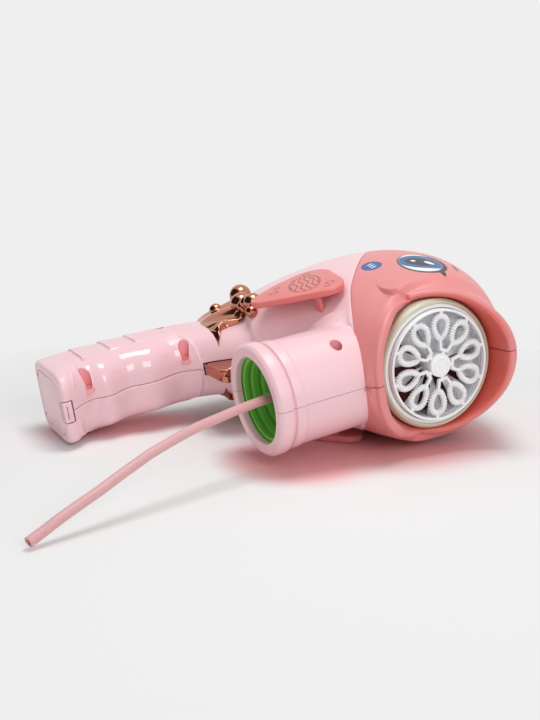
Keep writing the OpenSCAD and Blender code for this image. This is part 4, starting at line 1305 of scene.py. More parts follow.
            def top(r: float, a: float) -> float:
                """Finds the sideways place just under the skin.

                Args:
                    r: Distance from the well's axis.
                    a: Angle round it.

                Returns:
                    The place.
                """
                spot = Vector((x + r * math.cos(a), self.well_out, z + r * math.sin(a)))
                hits = [t.ray_cast(spot, Vector((0, 1, 0)))[0] for t in trees]
                seen = [h.y for h in hits if h is not None]
                return min(min(seen, default=self.lining_bare) + self.lining_sunk, self.lining_least)

            def place(u: float, v: float) -> Vector:
                """Follows the lining.

                Args:
                    u: Share of the way round the well.
                    v: Share of the way along the lining's rows.

                Returns:
                    The point.
                """
                a = math.tau * u
                wide, bore = self.well_r + self.lining_wide, self.well_r - self.lining_in
                out, bed, floor = self.well_out, self.well_bed, -self.well_floor
                rows = ((wide, out), (bore, out), (bore, bed), (self.screw_r, bed), (self.screw_r, floor),
                        (wide, floor), (wide, out))
                r, y = rows[round(v * 6)]
                return Vector((x + r * math.cos(a), max(y, top(r, a)), z + r * math.sin(a)))

            MeshBench.patch(bm, self.well_parts, 6, place, closed=True)
        return Piece(bm, "screw_wells", Finishes.WELL_SHADED, stands_for=("right_shell",), slot="pink").deliver()

    def latch_back(self, name: str) -> Thing:
        """Closes the latch's notch from inside.

        Args:
            name: Name of the side.

        Returns:
            The delivered object.
        """
        bm = bmesh.new()
        low, high = sorted((self.side.value * self.gap, self.side.value * 7.0))
        MeshBench.block(bm, (-86.0, low, -153.2), (-85.0, high, -149.0), 0.2)
        return Piece(bm, f"latch_back_{name}", Finishes.PINK, stands_for=(f"{name}_shell",),
                     slot="pink").deliver()


class Cutter:
    """Cuts shapes out of an object for good."""

    def __init__(self, obj: Thing) -> None:
        """Keeps the object that is cut."""
        self.obj = obj

    def cut(self, shapes: Sequence[Mesh]) -> None:
        """Cuts every shape and applies the modifiers.

        Args:
            shapes: Closed shapes in the gun's frame.
        """
        tools = []
        for shape in shapes:
            bmesh.ops.transform(shape, matrix=LIE_DOWN, verts=shape.verts)
            bmesh.ops.recalc_face_normals(shape, faces=shape.faces)
            mesh = bpy.data.meshes.new("cut")
            shape.to_mesh(mesh)
            shape.free()
            tool = bpy.data.objects.new("cut", mesh)
            bpy.context.scene.collection.objects.link(tool)
            knife = self.obj.modifiers.new("cut", "BOOLEAN")
            knife.operation = "DIFFERENCE"
            knife.solver = "EXACT"
            knife.object = tool
            tools.append(tool)
        self.apply()
        for tool in tools:
            mesh = tool.data
            bpy.data.objects.remove(tool)
            bpy.data.meshes.remove(mesh)

    def apply(self) -> None:
        """Replaces the mesh by its modified form, with sharp edges where faces turn hard."""
        graph = bpy.context.evaluated_depsgraph_get()
        fresh = bpy.data.meshes.new_from_object(self.obj.evaluated_get(graph))
        self.obj.modifiers.clear()
        old = self.obj.data
        self.obj.data = fresh
        fresh.name = self.obj.name
        bpy.data.meshes.remove(old)
        bm = bmesh.new()
        bm.from_mesh(fresh)
        MeshBench.shade(bm, CREASE)
        bm.to_mesh(fresh)
        bm.free()


@dataclass
class Mask:
    """Coral half of the face: cheek, smile and lips round the mouth."""

    side: Side
    gap: float = 0.1
    sunk: float = 0.15
    mouth_r: float = 30.7
    floor_x: float = -6.0
    lip_t: float = 4.0
    smile: float = 112.0
    root: tuple[tuple[float, ...], ...] = ((0.7,), (0.75,), (0.95,), (1.25,), (1.2,), (0.5,), (0.15,))
    edge: tuple[Point2, ...] = (
        (11, 36.3), (10.8, 35.6), (9.5, 34.8), (6.5, 34.4), (3, 34.2), (0, 34), (-3.5, 33.8),
        (-6, 33.8), (-3, 36.2), (2, 37.4), (5, 38), (6.5, 37.6), (7, 37),
    )
    crease: tuple[float, ...] = (
        116.5, 117, 117.4, 117.5, 117.2, 116.7, 116, 114.8, 112.3, 109, 104.2, 103.6, 103.5, 103.4,
    )
    fullness: tuple[Point2, ...] = ((3.4, 0.0), (7.0, 1.0), (9.5, 1.0), (13.0, 0.0))
    lower_side: float = 0.25
    hollow: float = 1.5
    bulge: float = 1.0
    brim: float = 0.3
    valley: float = 1.2
    cheek_share: float = 0.58
    upper_share: float = 0.6
    groove: float = 0.2
    seam_in: float = 0.012
    skin_steps: int = 8
    root_step: float = 30.0
    edge_step: float = 15.0
    mouth_room: float = 0.4
    least_deep: float = 4.5
    rim_steps: tuple[Point2, ...] = ((-2.2, 0.9), (-0.5, 0.2), (0.0, -1.0))
    lip_back: float = 0.4
    lip_share: float = 0.6
    wall_back: float = 1.6
    per_degree: float = 0.68
    hollow_fade: float = 5.0
    bulge_fade: float = 7.0
    brim_at: Point2 = (9.3, 0.4)
    valley_at: Point2 = (8.3, 0.55)
    brim_end: float = 106.0
    brim_fade: float = 10.0
    smile_wide: float = 14.0

    def line(self, turn: float) -> list[Vector]:
        """Draws the line from the seam over the lip to the floor of the mouth.

        Args:
            turn: Angle from the crown in degrees.

        Returns:
            The points.
        """
        seam, root = Moulding.seam(turn) - self.seam_in, along(self.root, turn / self.root_step)[0]
        shares = [k / self.skin_steps for k in range(self.skin_steps + 1)]
        points = [Moulding.skin(mix(seam, root, share), turn, self.sunk) for share in shares]
        reach, r = along(self.edge, turn / self.edge_step)
        inner = max(r - self.lip_t, self.mouth_r + self.mouth_room)
        deep = min(self.floor_x, reach - self.least_deep)
        rim = [(reach + out, r + up) for out, up in self.rim_steps]
        rim += [(reach - self.lip_back, mix(rim[-1][1], inner, self.lip_share)),
                (reach - self.wall_back, inner),
                (mix(reach, deep, self.lip_share), mix(inner, self.mouth_r, 0.5)),
                (deep, self.mouth_r)]
        c, d = math.cos(math.radians(turn)), math.sin(math.radians(turn))
        points += [Vector((x, -ring * d, ring * c)) for x, ring in rim]
        return points

    def smile_turn(self, w: float) -> float:
        """Angle of the smile's crease at a place along the half's lines."""
        last = len(self.crease) - 1
        return along([(c,) for c in self.crease], held((w - 4.0) * 2.0, 0.0, last))[0]

    def roll(self, w: float, turn: float) -> float:
        """Shapes the upper lip's roll above the smile's crease and the hollow below it.

        Args:
            w: Place along the half's lines.
            turn: Angle from the crown in degrees.

        Returns:
            The height.
        """
        above = self.per_degree * (self.smile_turn(w) - turn)
        full = steps_between(self.fullness, w) * (1.0 if self.side is Side.RIGHT else self.lower_side)
        hollow = -self.hollow * math.exp(-max(-above, 0.0) / self.hollow_fade)
        bulge = self.bulge * math.exp(-max(above, 0.0) / self.bulge_fade)
        (brim_w, brim_wide), (valley_w, valley_wide) = self.brim_at, self.valley_at
        brim = self.brim * math.exp(-((w - brim_w) / brim_wide) ** 2)
        brim -= self.valley * math.exp(-((w - valley_w) / valley_wide) ** 2)
        upper = smooth01((self.brim_end - turn) / self.brim_fade)
        return full * mix(hollow, bulge, smooth01(above + 0.5)) + brim * upper

    def build(self) -> Thing:
        """Builds the half mask.

        Returns:
            The delivered object.
        """
        lines: dict[int, list[Vector]] = {}
        cheek, upper = self.cheek_share, self.upper_share

        def spot(w: float, turn: float) -> Vector:
            """Reads the lines between the nearest half degrees.

            Args:
                w: Place along the line.
                turn: Angle from the crown in degrees.

            Returns:
                The point.
            """
            k = min(int(turn * 2), 359)
            for j in (k, k + 1):
                if j not in lines:
                    lines[j] = self.line(j / 2)
            return Vector(along(lines[k], w)).lerp(Vector(along(lines[k + 1], w)), turn * 2 - k)

        def place(u: float, v: float) -> Vector:
            """Follows the mask, with rows drawn together along the smile.

            Args:
                u: Share of the way from the seam to the mouth's floor.
                v: Share of the way from crown to belly.

            Returns:
                The point.
            """
            w = 8.0 * u / cheek if u < cheek else 8.0 + 7.0 * (u - cheek) / (1.0 - cheek)
            far = (upper - v) / upper if v < upper else (v - upper) / (1.0 - upper)
            ease = far * (0.4 + 0.6 * far)
            turn = self.smile * (1.0 - ease) if v < upper else self.smile + (180.0 - self.smile) * ease
            near = math.exp(-((turn - self.smile) / self.smile_wide) ** 2)
            turn += (self.smile_turn(w) - self.smile) * near
            turn = held(turn, 0.0, 180.0)
            p = spot(w, turn)
            out = Vector((0, p.y, p.z)).normalized()
            p += out * self.roll(w, turn)
            p.y = min(p.y, -self.gap)
            if self.side is Side.LEFT:
                sunk = 0.05 - (HUB.z + math.cos(TILT) * p.y + math.sin(TILT) * p.z)
                p.y += max(sunk, 0.0) / math.cos(TILT)
            return p

        bm = bmesh.new()
        MeshBench.patch(bm, 190, 200, place)
        if self.side is Side.LEFT:
            bmesh.ops.scale(bm, vec=(1, -1, 1), verts=bm.verts)
        bm.normal_update()
        sides = [f for f in bm.faces if f.calc_center_median().x < -10]
        if sum(f.normal.y * f.calc_area() for f in sides) * self.side.value < 0:
            bmesh.ops.reverse_faces(bm, faces=bm.faces)
        MeshBench.sink_rim(bm, self.groove)
        name = self.side.name.lower()
        return Piece(bm, f"mask_{name}", Finishes.FACE, stands_for=(f"{name}_face",), slot="coral", wall=1.3,
                     outward=False).deliver()


@dataclass
class Fin:
    """Leaf-shaped side fin on its stub, thick with a rounded edge."""

    side: Side
    thick: float = 3.2
    edge: float = 0.8
    peg_low: Point3 = (-46.5, -thick - 13.0, -37.0)
    peg_high: Point3 = (-41.5, -thick + 0.6, -35.0)
    peg_edge: float = 0.4
    discs: tuple[Point3, ...] = (
        (-66, -28, 12.5), (-46, -28, 8), (-41, -30, 7), (-66, -39, 11.5), (-64.5, -52.5, 8),
    )

    def build(self) -> Thing:
        """Builds the fin.

        Returns:
            The delivered object.
        """
        bm = bmesh.new()
        turn = Matrix.Rotation(math.pi / 2, 4, "X")
        for x, z, r in self.discs:
            MeshBench.rod(bm, r, self.thick, 64, Matrix.Translation((x, -self.thick / 2, z)) @ turn)
        hull = bmesh.ops.convex_hull(bm, input=bm.verts)
        spare = [g for g in hull["geom_interior"] + hull["geom_unused"] if isinstance(g, Vert)]
        bmesh.ops.delete(bm, geom=spare, context="VERTS")
        bmesh.ops.dissolve_limit(bm, angle_limit=math.radians(1.0), verts=bm.verts, edges=bm.edges)
        rims = [e for e in bm.edges if len(e.link_faces) == 2 and e.calc_face_angle(0.0) > 1.0]
        MeshBench.soften(bm, rims, self.edge, 4)
        MeshBench.block(bm, self.peg_low, self.peg_high, self.peg_edge)
        place = Matrix.Translation((0, HUB.z / math.cos(TILT), 0)) @ Matrix.Rotation(-TILT, 4, "X")
        bmesh.ops.transform(bm, matrix=place, verts=bm.verts)
        if self.side is Side.RIGHT:
            bmesh.ops.scale(bm, vec=(1, -1, 1), verts=bm.verts)
        name = self.side.name.lower()
        finish = Finishes.FIN if self.side is Side.RIGHT else Finishes.CORAL
        return Piece(bm, f"fin_{name}", finish, stands_for=(f"{name}_fin",), slot="coral").deliver()


@dataclass
class TailSplash:
    """Plated ornament over the back of the neck: a breaking wave with round drops and a tip on each side.

    The edges and the height are points of angle and section number or millimetres. A drop is its section
    number, angle, radius and lift off the skin.
    """

    top: tuple[Point2, ...] = (
        (0, 8.0), (98, 8.05), (106, 8.5), (113, 9.6), (118, 9.85), (126, 9.97), (145, 10.18),
    )
    foot: tuple[Point2, ...] = ((0, 10.2), (60, 10.22), (90, 10.32), (111, 10.26), (127, 10.22), (145, 10.2))
    height: tuple[Point2, ...] = ((0, 5.0), (40, 6.3), (75, 6.6), (96, 4.6), (113, 2.6), (145, 0.9))
    span: float = 145.0
    flow: float = 1.3
    flow_pitch: float = 25.0
    flow_drift: float = 26.0
    flow_end: float = 128.0
    flow_fade: float = 20.0
    arch_lean: float = 0.6
    arch_full: float = 0.7
    sunk: float = 0.3
    drops: tuple[tuple[float, float, float, float], ...] = (
        (8.1, 66, 5.9, 3.0), (8.5, 84, 5.8, 2.6), (9.6, 58, 3.6, 3.6), (8.9, 97, 4.2, 0.2),
        (8.3, 101, 3.8, 1.6), (7.9, 106, 4.2, 1.6), (7.6, 112, 4.8, 1.4), (7.8, 122, 3.3, 1.4),
        (8.7, 20, 5.0, 5.0), (9.5, 30, 4.0, 4.0),
    )

    def build(self) -> Thing:
        """Builds the wave and its drops.

        Returns:
            The delivered object.
        """

        def place(u: float, v: float) -> Vector:
            """Follows the wave.

            Args:
                u: Share of the way from tip to tip.
                v: Share of the way from crest to foot.

            Returns:
                The point.
            """
            angle = mix(-self.span, self.span, u)
            turn = abs(angle)
            v = held(v)
            s = mix(steps_between(self.top, turn), steps_between(self.foot, turn), v)
            arch = max(math.sin(math.pi * v ** self.arch_lean), 0.0) ** self.arch_full
            swirl = math.cos(math.tau * (turn + self.flow_drift * v) / self.flow_pitch)
            flow = self.flow * swirl * arch * smooth01((self.flow_end - turn) / self.flow_fade)
            p = Moulding.skin(s, turn, self.sunk - steps_between(self.height, turn) * arch - flow)
            if angle < 0:
                p.y = -p.y
            return p

        bm = bmesh.new()
        MeshBench.patch(bm, 290, 48, place)
        for s, turn, r, lift in self.drops:
            for way in (1, -1):
                p = Moulding.skin(s, turn, -lift)
                p.y *= way
                bmesh.ops.create_uvsphere(bm, u_segments=40, v_segments=24, radius=r,
                                          matrix=Matrix.Translation(p))
        return Piece(bm, "tail_splash_plated", Finishes.PLATED, stands_for=("tail_splash",),
                     slot="rose_gold").deliver()


@dataclass
class Trigger:
    """Plated trigger with a hollow for the finger and a fine ridge down its middle."""

    half: float = 5.5
    ridge: float = 0.3
    ridge_from: float = -74.0
    ridge_cuts: tuple[float, ...] = (-0.5, 0.0, 0.5)
    narrow: float = 0.55
    narrow_span: Point2 = (-80.0, 15.0)
    finger: Point2 = (-60.1, -72.0)
    finger_r: float = 10.0
    finger_rows: tuple[float, ...] = (-67.0, -69.0, -71.0, -73.0, -75.0, -76.8)
    above: tuple[Point2, ...] = ((-104, -64), (-74.0, -64), (-70.6, -65.0))
    below: tuple[Point2, ...] = ((-70.4, -78.3), (-73.5, -79), (-104, -79))
    edge: float = 1.1
    heel: tuple[Point3, Point3] = ((-104, -8, -77), (-95.5, 8, -66))
    heel_edge: float = 0.5

    @classmethod
    def taper(cls, z: float) -> float:
        """Share of the full width at a height; the trigger narrows towards the handle's end."""
        return mix(cls.narrow, 1.0, ramp(z, cls.narrow_span))

    def build(self) -> Thing:
        """Builds the trigger.

        Returns:
            The delivered object.
        """
        x, middle = self.finger
        hollow = [(x - math.sqrt(self.finger_r ** 2 - (z - middle) ** 2), z) for z in self.finger_rows]
        line = [*self.above, *hollow, *self.below]
        bm = bmesh.new()
        face = bm.faces.new([bm.verts.new((x, -self.half, z)) for x, z in line])
        MeshBench.push(bm, [face], (0, 2 * self.half, 0))
        rims = [e for e in bm.edges if abs(e.verts[0].co.y - e.verts[1].co.y) < 1e-6]
        MeshBench.soften(bm, rims, self.edge, 4)
        for y in self.ridge_cuts:
            geom = bm.verts[:] + bm.edges[:] + bm.faces[:]
            bmesh.ops.bisect_plane(bm, geom=geom, plane_co=(0, y, 0), plane_no=(0, 1, 0))
        for vert in bm.verts:
            if abs(vert.co.y) < 1e-4 and vert.co.x > self.ridge_from:
                vert.co.x += self.ridge
            vert.co.y *= self.taper(vert.co.z)
        MeshBench.block(bm, *self.heel, self.heel_edge)
        return Piece(bm, "trigger_plated", Finishes.PLATED, "trigger", ("trigger",), "rose_gold").deliver()


@dataclass
class BatteryDoor:
    """Door in the end of the handle with its hinge barrel and latch tab."""

    low: float = -156.0
    thick: float = 2.4
    hinge_x: float = -125.3
    hinge_z: float = -154.6
    heel: float = 1.7
    heel_half: float = 8.8
    inset: float = 4.3
    parts: int = 144
    edge: float = 0.3
    barrels: tuple[Point2, ...] = ((1.4, 19.0), (1.0, 32.6))
    barrel_parts: int = 32
    tab_half: float = 5.0
    tab_back: float = -88.0
    tab_front: float = -81.2
    catch_back: float = -83.6
    catch_front: float = -81.4
    catch_high: float = 4.4
    catch_edge: float = 0.5
    ribs: tuple[float, ...] = (-154.2, -153.0)
    rib_back: float = -81.6
    rib_half: float = 3.4
    rib_rise: float = 0.3
    rib_edge: float = 0.15

    def build(self) -> Thing:
        """Builds the door.

        Returns:
            The delivered object.
        """
        bm = bmesh.new()
        disc = bmesh.ops.create_circle(bm, cap_ends=True, segments=self.parts, radius=1.0)["verts"]
        for vert in disc:
            turn = math.degrees(math.atan2(abs(vert.co.y), -vert.co.x))
            p = Moulding.skin(Moulding.LAST, turn, self.inset)
            back = self.hinge_x if abs(p.y) <= self.heel_half else self.hinge_x + self.heel
            vert.co = Vector((max(p.x, back), p.y if vert.co.y > 0 else -p.y, self.low + self.thick))
        bmesh.ops.remove_doubles(bm, verts=bm.verts, dist=0.001)
        outer = MeshBench.push(bm, bm.faces[:], (0, 0, -self.thick))
        MeshBench.soften(bm, list({e for f in outer for e in f.edges}), self.edge, 2)
        turn = Matrix.Translation((self.hinge_x, 0, self.hinge_z)) @ Matrix.Rotation(math.pi / 2, 4, "X")
        for radius, depth in self.barrels:
            MeshBench.rod(bm, radius, depth, self.barrel_parts, turn)
        low, half = self.low, self.tab_half
        MeshBench.block(bm, (self.tab_back, -half, low), (self.tab_front, half, low + self.thick), self.edge)
        MeshBench.block(bm, (self.catch_back, -half, low), (self.catch_front, half, low + self.catch_high),
                        self.catch_edge)
        for z in self.ribs:
            MeshBench.block(bm, (self.rib_back, -self.rib_half, z - self.rib_rise),
                            (self.tab_front, self.rib_half, z + self.rib_rise), self.rib_edge)
        return Piece(bm, "door_moulded", Finishes.PINK, "door", ("battery_door",), "pink").deliver()


@dataclass
class BubbleWheel:
    """White wheel of ribbed loops that turns in the mouth."""

    loop_in: float = 12.4
    loop_out: float = 22.7
    wide: float = 4.4
    rod: float = 1.5
    ribs: int = 28
    groove: float = 0.62
    ridge: float = 0.42
    arms: int = 5
    fork: float = 7.2
    rest: float = 9.0
    stem: float = 1.8
    stem_from: float = 4.5
    cross: float = 1.5
    cross_half: float = 2.6
    prong: float = 1.4
    prong_out: float = 2.0
    tie: float = 1.6
    tie_in: float = 23.2
    tie_out: float = 25.5
    hub_edge: float = 0.5
    rim_edge: float = 0.4
    bar_edge: float = 0.35
    hub: tuple[Point2, ...] = (
        (0.0, 2.0), (0.9, 2.0), (1.1, 1.8), (2.8, 1.8), (3.1, 2.2), (3.9, 2.2), (4.2, 1.8),
        (5.5, 1.8), (5.5, -4.5), (1.55, -4.5),
    )
    rim: tuple[Point2, ...] = ((24.9, -1.5), (24.9, 1.2), (26.1, 1.2), (26.1, -1.5), (24.9, -1.5))

    def loop(self, bm: Mesh, angle: float) -> None:
        """Sweeps one ribbed loop.

        Args:
            bm: Mesh that takes it.
            angle: Where the loop stands on the wheel, in radians.
        """
        reach = (self.loop_out - self.loop_in) / 2

        def centre(t: float) -> Vector:
            """Follows the loop's centre line.

            Args:
                t: Angle round the loop.

            Returns:
                The point.
            """
            p = self.loop_in + reach + reach * math.cos(t)
            q = self.wide * math.sin(t) * (0.8 + 0.2 * math.cos(t))
            c, d = math.cos(angle), math.sin(angle)
            return Vector((0, p * d + q * c, p * c - q * d))

        def place(u: float, v: float) -> Vector:
            """Follows the ribbed rod.

            Args:
                u: Share of the way round the loop.
                v: Share of the way round the rod.

            Returns:
                The point.
            """
            t, a = math.tau * u, math.tau * v
            way = (centre(t + 0.01) - centre(t - 0.01)).normalized()
            side = way.cross(AHEAD)
            rib = 0.5 + 0.5 * math.cos(t * self.ribs)
            radius = self.rod * (self.groove + self.ridge * rib ** 0.35)
            return centre(t) + radius * (side * math.cos(a) + AHEAD * math.sin(a))

        MeshBench.patch(bm, self.ribs * 8, 12, place, closed=True)

    def bar(self, bm: Mesh, a: Point2, b: Point2, width: float, thick: float = 1.8) -> None:
        """Puts a rounded bar between two points of the wheel's plane.

        Args:
            bm: Mesh that takes it.
            a: First point as y and z.
            b: Second point.
            width: Width of the bar.
            thick: Thickness along the wheel's axis.
        """
        way = Vector(b) - Vector(a)
        turn = Matrix.Translation((0, a[0], a[1])) @ Matrix.Rotation(math.atan2(way.y, way.x), 4, "X")
        MeshBench.block(bm, (-thick / 2, 0, -width / 2), (thick / 2, way.length, width / 2),
                        self.bar_edge, turn)

    def build(self) -> Thing:
        """Builds the wheel.

        Returns:
            The delivered object.
        """
        bm = bmesh.new()
        MeshBench.ringed(bm, self.hub, self.hub_edge, 64)
        MeshBench.ringed(bm, self.rim, self.rim_edge, 128)
        half = math.pi / (2 * self.arms)
        for k in range(self.arms):
            base = math.tau * k / self.arms + math.radians(self.rest)

            def polar(r: float, a: float) -> Point2:
                """Point at a radius and an angle from the arm."""
                return (r * math.sin(base + a), r * math.cos(base + a))

            def local(q: float, p: float) -> Point2:
                """Point beside and along the arm."""
                return (p * math.sin(base) + q * math.cos(base), p * math.cos(base) - q * math.sin(base))

            self.bar(bm, local(0, self.stem_from), local(0, self.fork), self.stem)
            self.bar(bm, local(-self.cross_half, self.fork), local(self.cross_half, self.fork), self.cross)
            for way in (-1, 1):
                out = local(way * self.prong_out, self.fork)
                self.bar(bm, out, polar(self.loop_in, way * half), self.prong)
                self.bar(bm, polar(self.tie_in, way * half), polar(self.tie_out, way * half), self.tie)
                self.loop(bm, base + way * half)
        return Piece(bm, "bubble_wheel", Finishes.WHITE, "wheel", ("wand_wheel",), "white",
                     crease=50).deliver()


@dataclass
class AirGuide:
    """Fixed ring behind the wheel with broad blades set at a slant."""

    blades: int = 10
    share: float = 27.0
    slant: float = 4.0
    thick: float = 1.1
    middle: float = -7.2
    inner: float = 4.6
    outer: float = 25.4
    rings: tuple[tuple[Point2, ...], ...] = (
        ((24.9, -14), (24.9, -2.2), (26.1, -2.2), (26.1, -14), (24.9, -14)),
        ((1.8, -14), (1.8, -5.6), (5.0, -5.6), (5.0, -14), (1.8, -14)),
    )

    def build(self) -> Thing:
        """Builds the guide.

        Returns:
            The delivered object.
        """
        bm = bmesh.new()
        for line in self.rings:
            MeshBench.ringed(bm, line, 0.4, 96)
        for k in range(self.blades):
            middle = math.tau * (k + 0.5) / self.blades

            def place(u: float, v: float) -> Vector:
                """Follows the blade.

                Args:
                    u: Share of the way from hub to rim.
                    v: Share of the way round the blade.

                Returns:
                    The point.
                """
                r = mix(self.inner, self.outer, u)
                a = math.tau * v
                thick, wide = self.thick / 2 * math.sin(a), 0.5 * math.cos(a)
                angle = middle + math.radians(self.share) * wide
                ahead = self.middle + self.slant * wide + thick
                return Vector((ahead, r * math.sin(angle), r * math.cos(angle)))

            MeshBench.patch(bm, 8, 24, place, closed=True)
        return Piece(bm, "air_guide_bladed", Finishes.GUIDE, stands_for=("air_guide",),
                     slot="white").deliver()


@dataclass
class MouthRings:
    """Cream light ring with its pale inner step, and the green bottle collar, all turned."""

    diffuser: tuple[Point2, ...] = (
        (28.1, -8), (28.1, -1.2), (28.6, -0.8), (29.4, -1.2), (30.5, -3.0), (30.5, -8), (28.1, -8),
    )
    step: tuple[Point2, ...] = (
        (26.3, -7.9), (26.3, -1.9), (26.6, -1.5), (27.4, -1.9), (28.05, -1.7), (28.05, -7.9), (26.3, -7.9),
    )
    collar: tuple[Point2, ...] = (
        (21.6, -55), (21.6, -80), (18.2, -80), (18.2, -77.6), (18.9, -77.2), (18.9, -76.0), (18.2, -75.6),
        (18.2, -72.4), (18.9, -72.0), (18.9, -70.8), (18.2, -70.4), (18.2, -66), (16.7, -66), (16.7, -58),
        (1.9, -58), (1.9, -62), (0.8, -62), (0.8, -51), (1.9, -51), (1.9, -55), (21.6, -55),
    )
    collar_x: float = -23.0

    def build(self) -> list[Thing]:
        """Builds the rings.

        Returns:
            The delivered objects.
        """
        plan = (
            ("light_diffuser", Finishes.CREAM, "diffuser", self.diffuser),
            ("light_step", Finishes.WHITE, "white", self.step),
        )
        out = []
        for name, finish, slot, line in plan:
            bm = bmesh.new()
            MeshBench.ringed(bm, line, 0.6, 128)
            out.append(Piece(bm, name, finish, stands_for=("light_ring",), slot=slot).deliver())
        bm = bmesh.new()
        centre = Vector((self.collar_x, 0, 0))
        profile = [centre + Vector((r, 0, z)) for r, z in MeshBench.rounded(self.collar, 0.3, 3)]
        MeshBench.turned(bm, profile, centre, UP, 96)
        collar = Piece(bm, "collar_green", Finishes.GREEN, stands_for=("bottle_collar",), slot="green")
        out.append(collar.deliver())
        return out


@dataclass
class SuctionHose:
    """Soft hose from the collar's nipple down to the table, with a bare cut end."""

    outer: float = 2.1
    wall: float = 0.7
    route: tuple[Point3, ...] = (
        (-61.2, 23.0, -9.8), (-66.2, 21.9, -10.5), (-73.2, 18.4, -10.2), (-82.2, 13.4, -10.4),
        (-97.2, 7.4, -11.6), (-108.2, 3.4, -13.1), (-119.2, -0.6, -14.6), (-129.2, -4.6, -16.6),
        (-137.2, -7.6, -18.6), (-144.2, -10.1, -20.6), (-151.2, -12.8, -23.1), (-158.2, -15.6, -25.6),
        (-167.2, -19.1, -29.1), (-176.2, -22.4, -32.3), (-184.2, -25.4, -35.2), (-191.2, -27.9, -38.2),
        (-197.2, -30.1, -40.6),
    )

    def point(self, t: float) -> Vector:
        """Point of the centre line in row millimetres, t from 0 to 1."""
        return HUB + Vector(along(self.route, t * (len(self.route) - 1)))

    def build(self) -> Thing:
        """Returns:
            The delivered object.
        """

        def place(u: float, v: float) -> Vector:
            """Follows the hose's skin.

            Args:
                u: Share of the hose's length.
                v: Share of the way round it.

            Returns:
                The point.
            """
            way = (self.point(min(u + 0.004, 1.0)) - self.point(max(u - 0.004, 0.0))).normalized()
            side = way.cross(UP).normalized()
            over = side.cross(way)
            a = math.tau * v
            return self.point(u) + self.outer * (side * math.cos(a) + over * math.sin(a))

        bm = bmesh.new()
        MeshBench.patch(bm, 128, 20, place, closed=True)
        bmesh.ops.transform(bm, matrix=LIE_DOWN.inverted() @ Matrix.Scale(MM, 4), verts=bm.verts)
        obj = Piece(bm, "hose_soft", Finishes.HOSE, stands_for=("suction_hose",), slot="hose",
                    wall=self.wall).deliver()
        path = [self.point(k / 32.0) * MM for k in range(33)]
        return obj


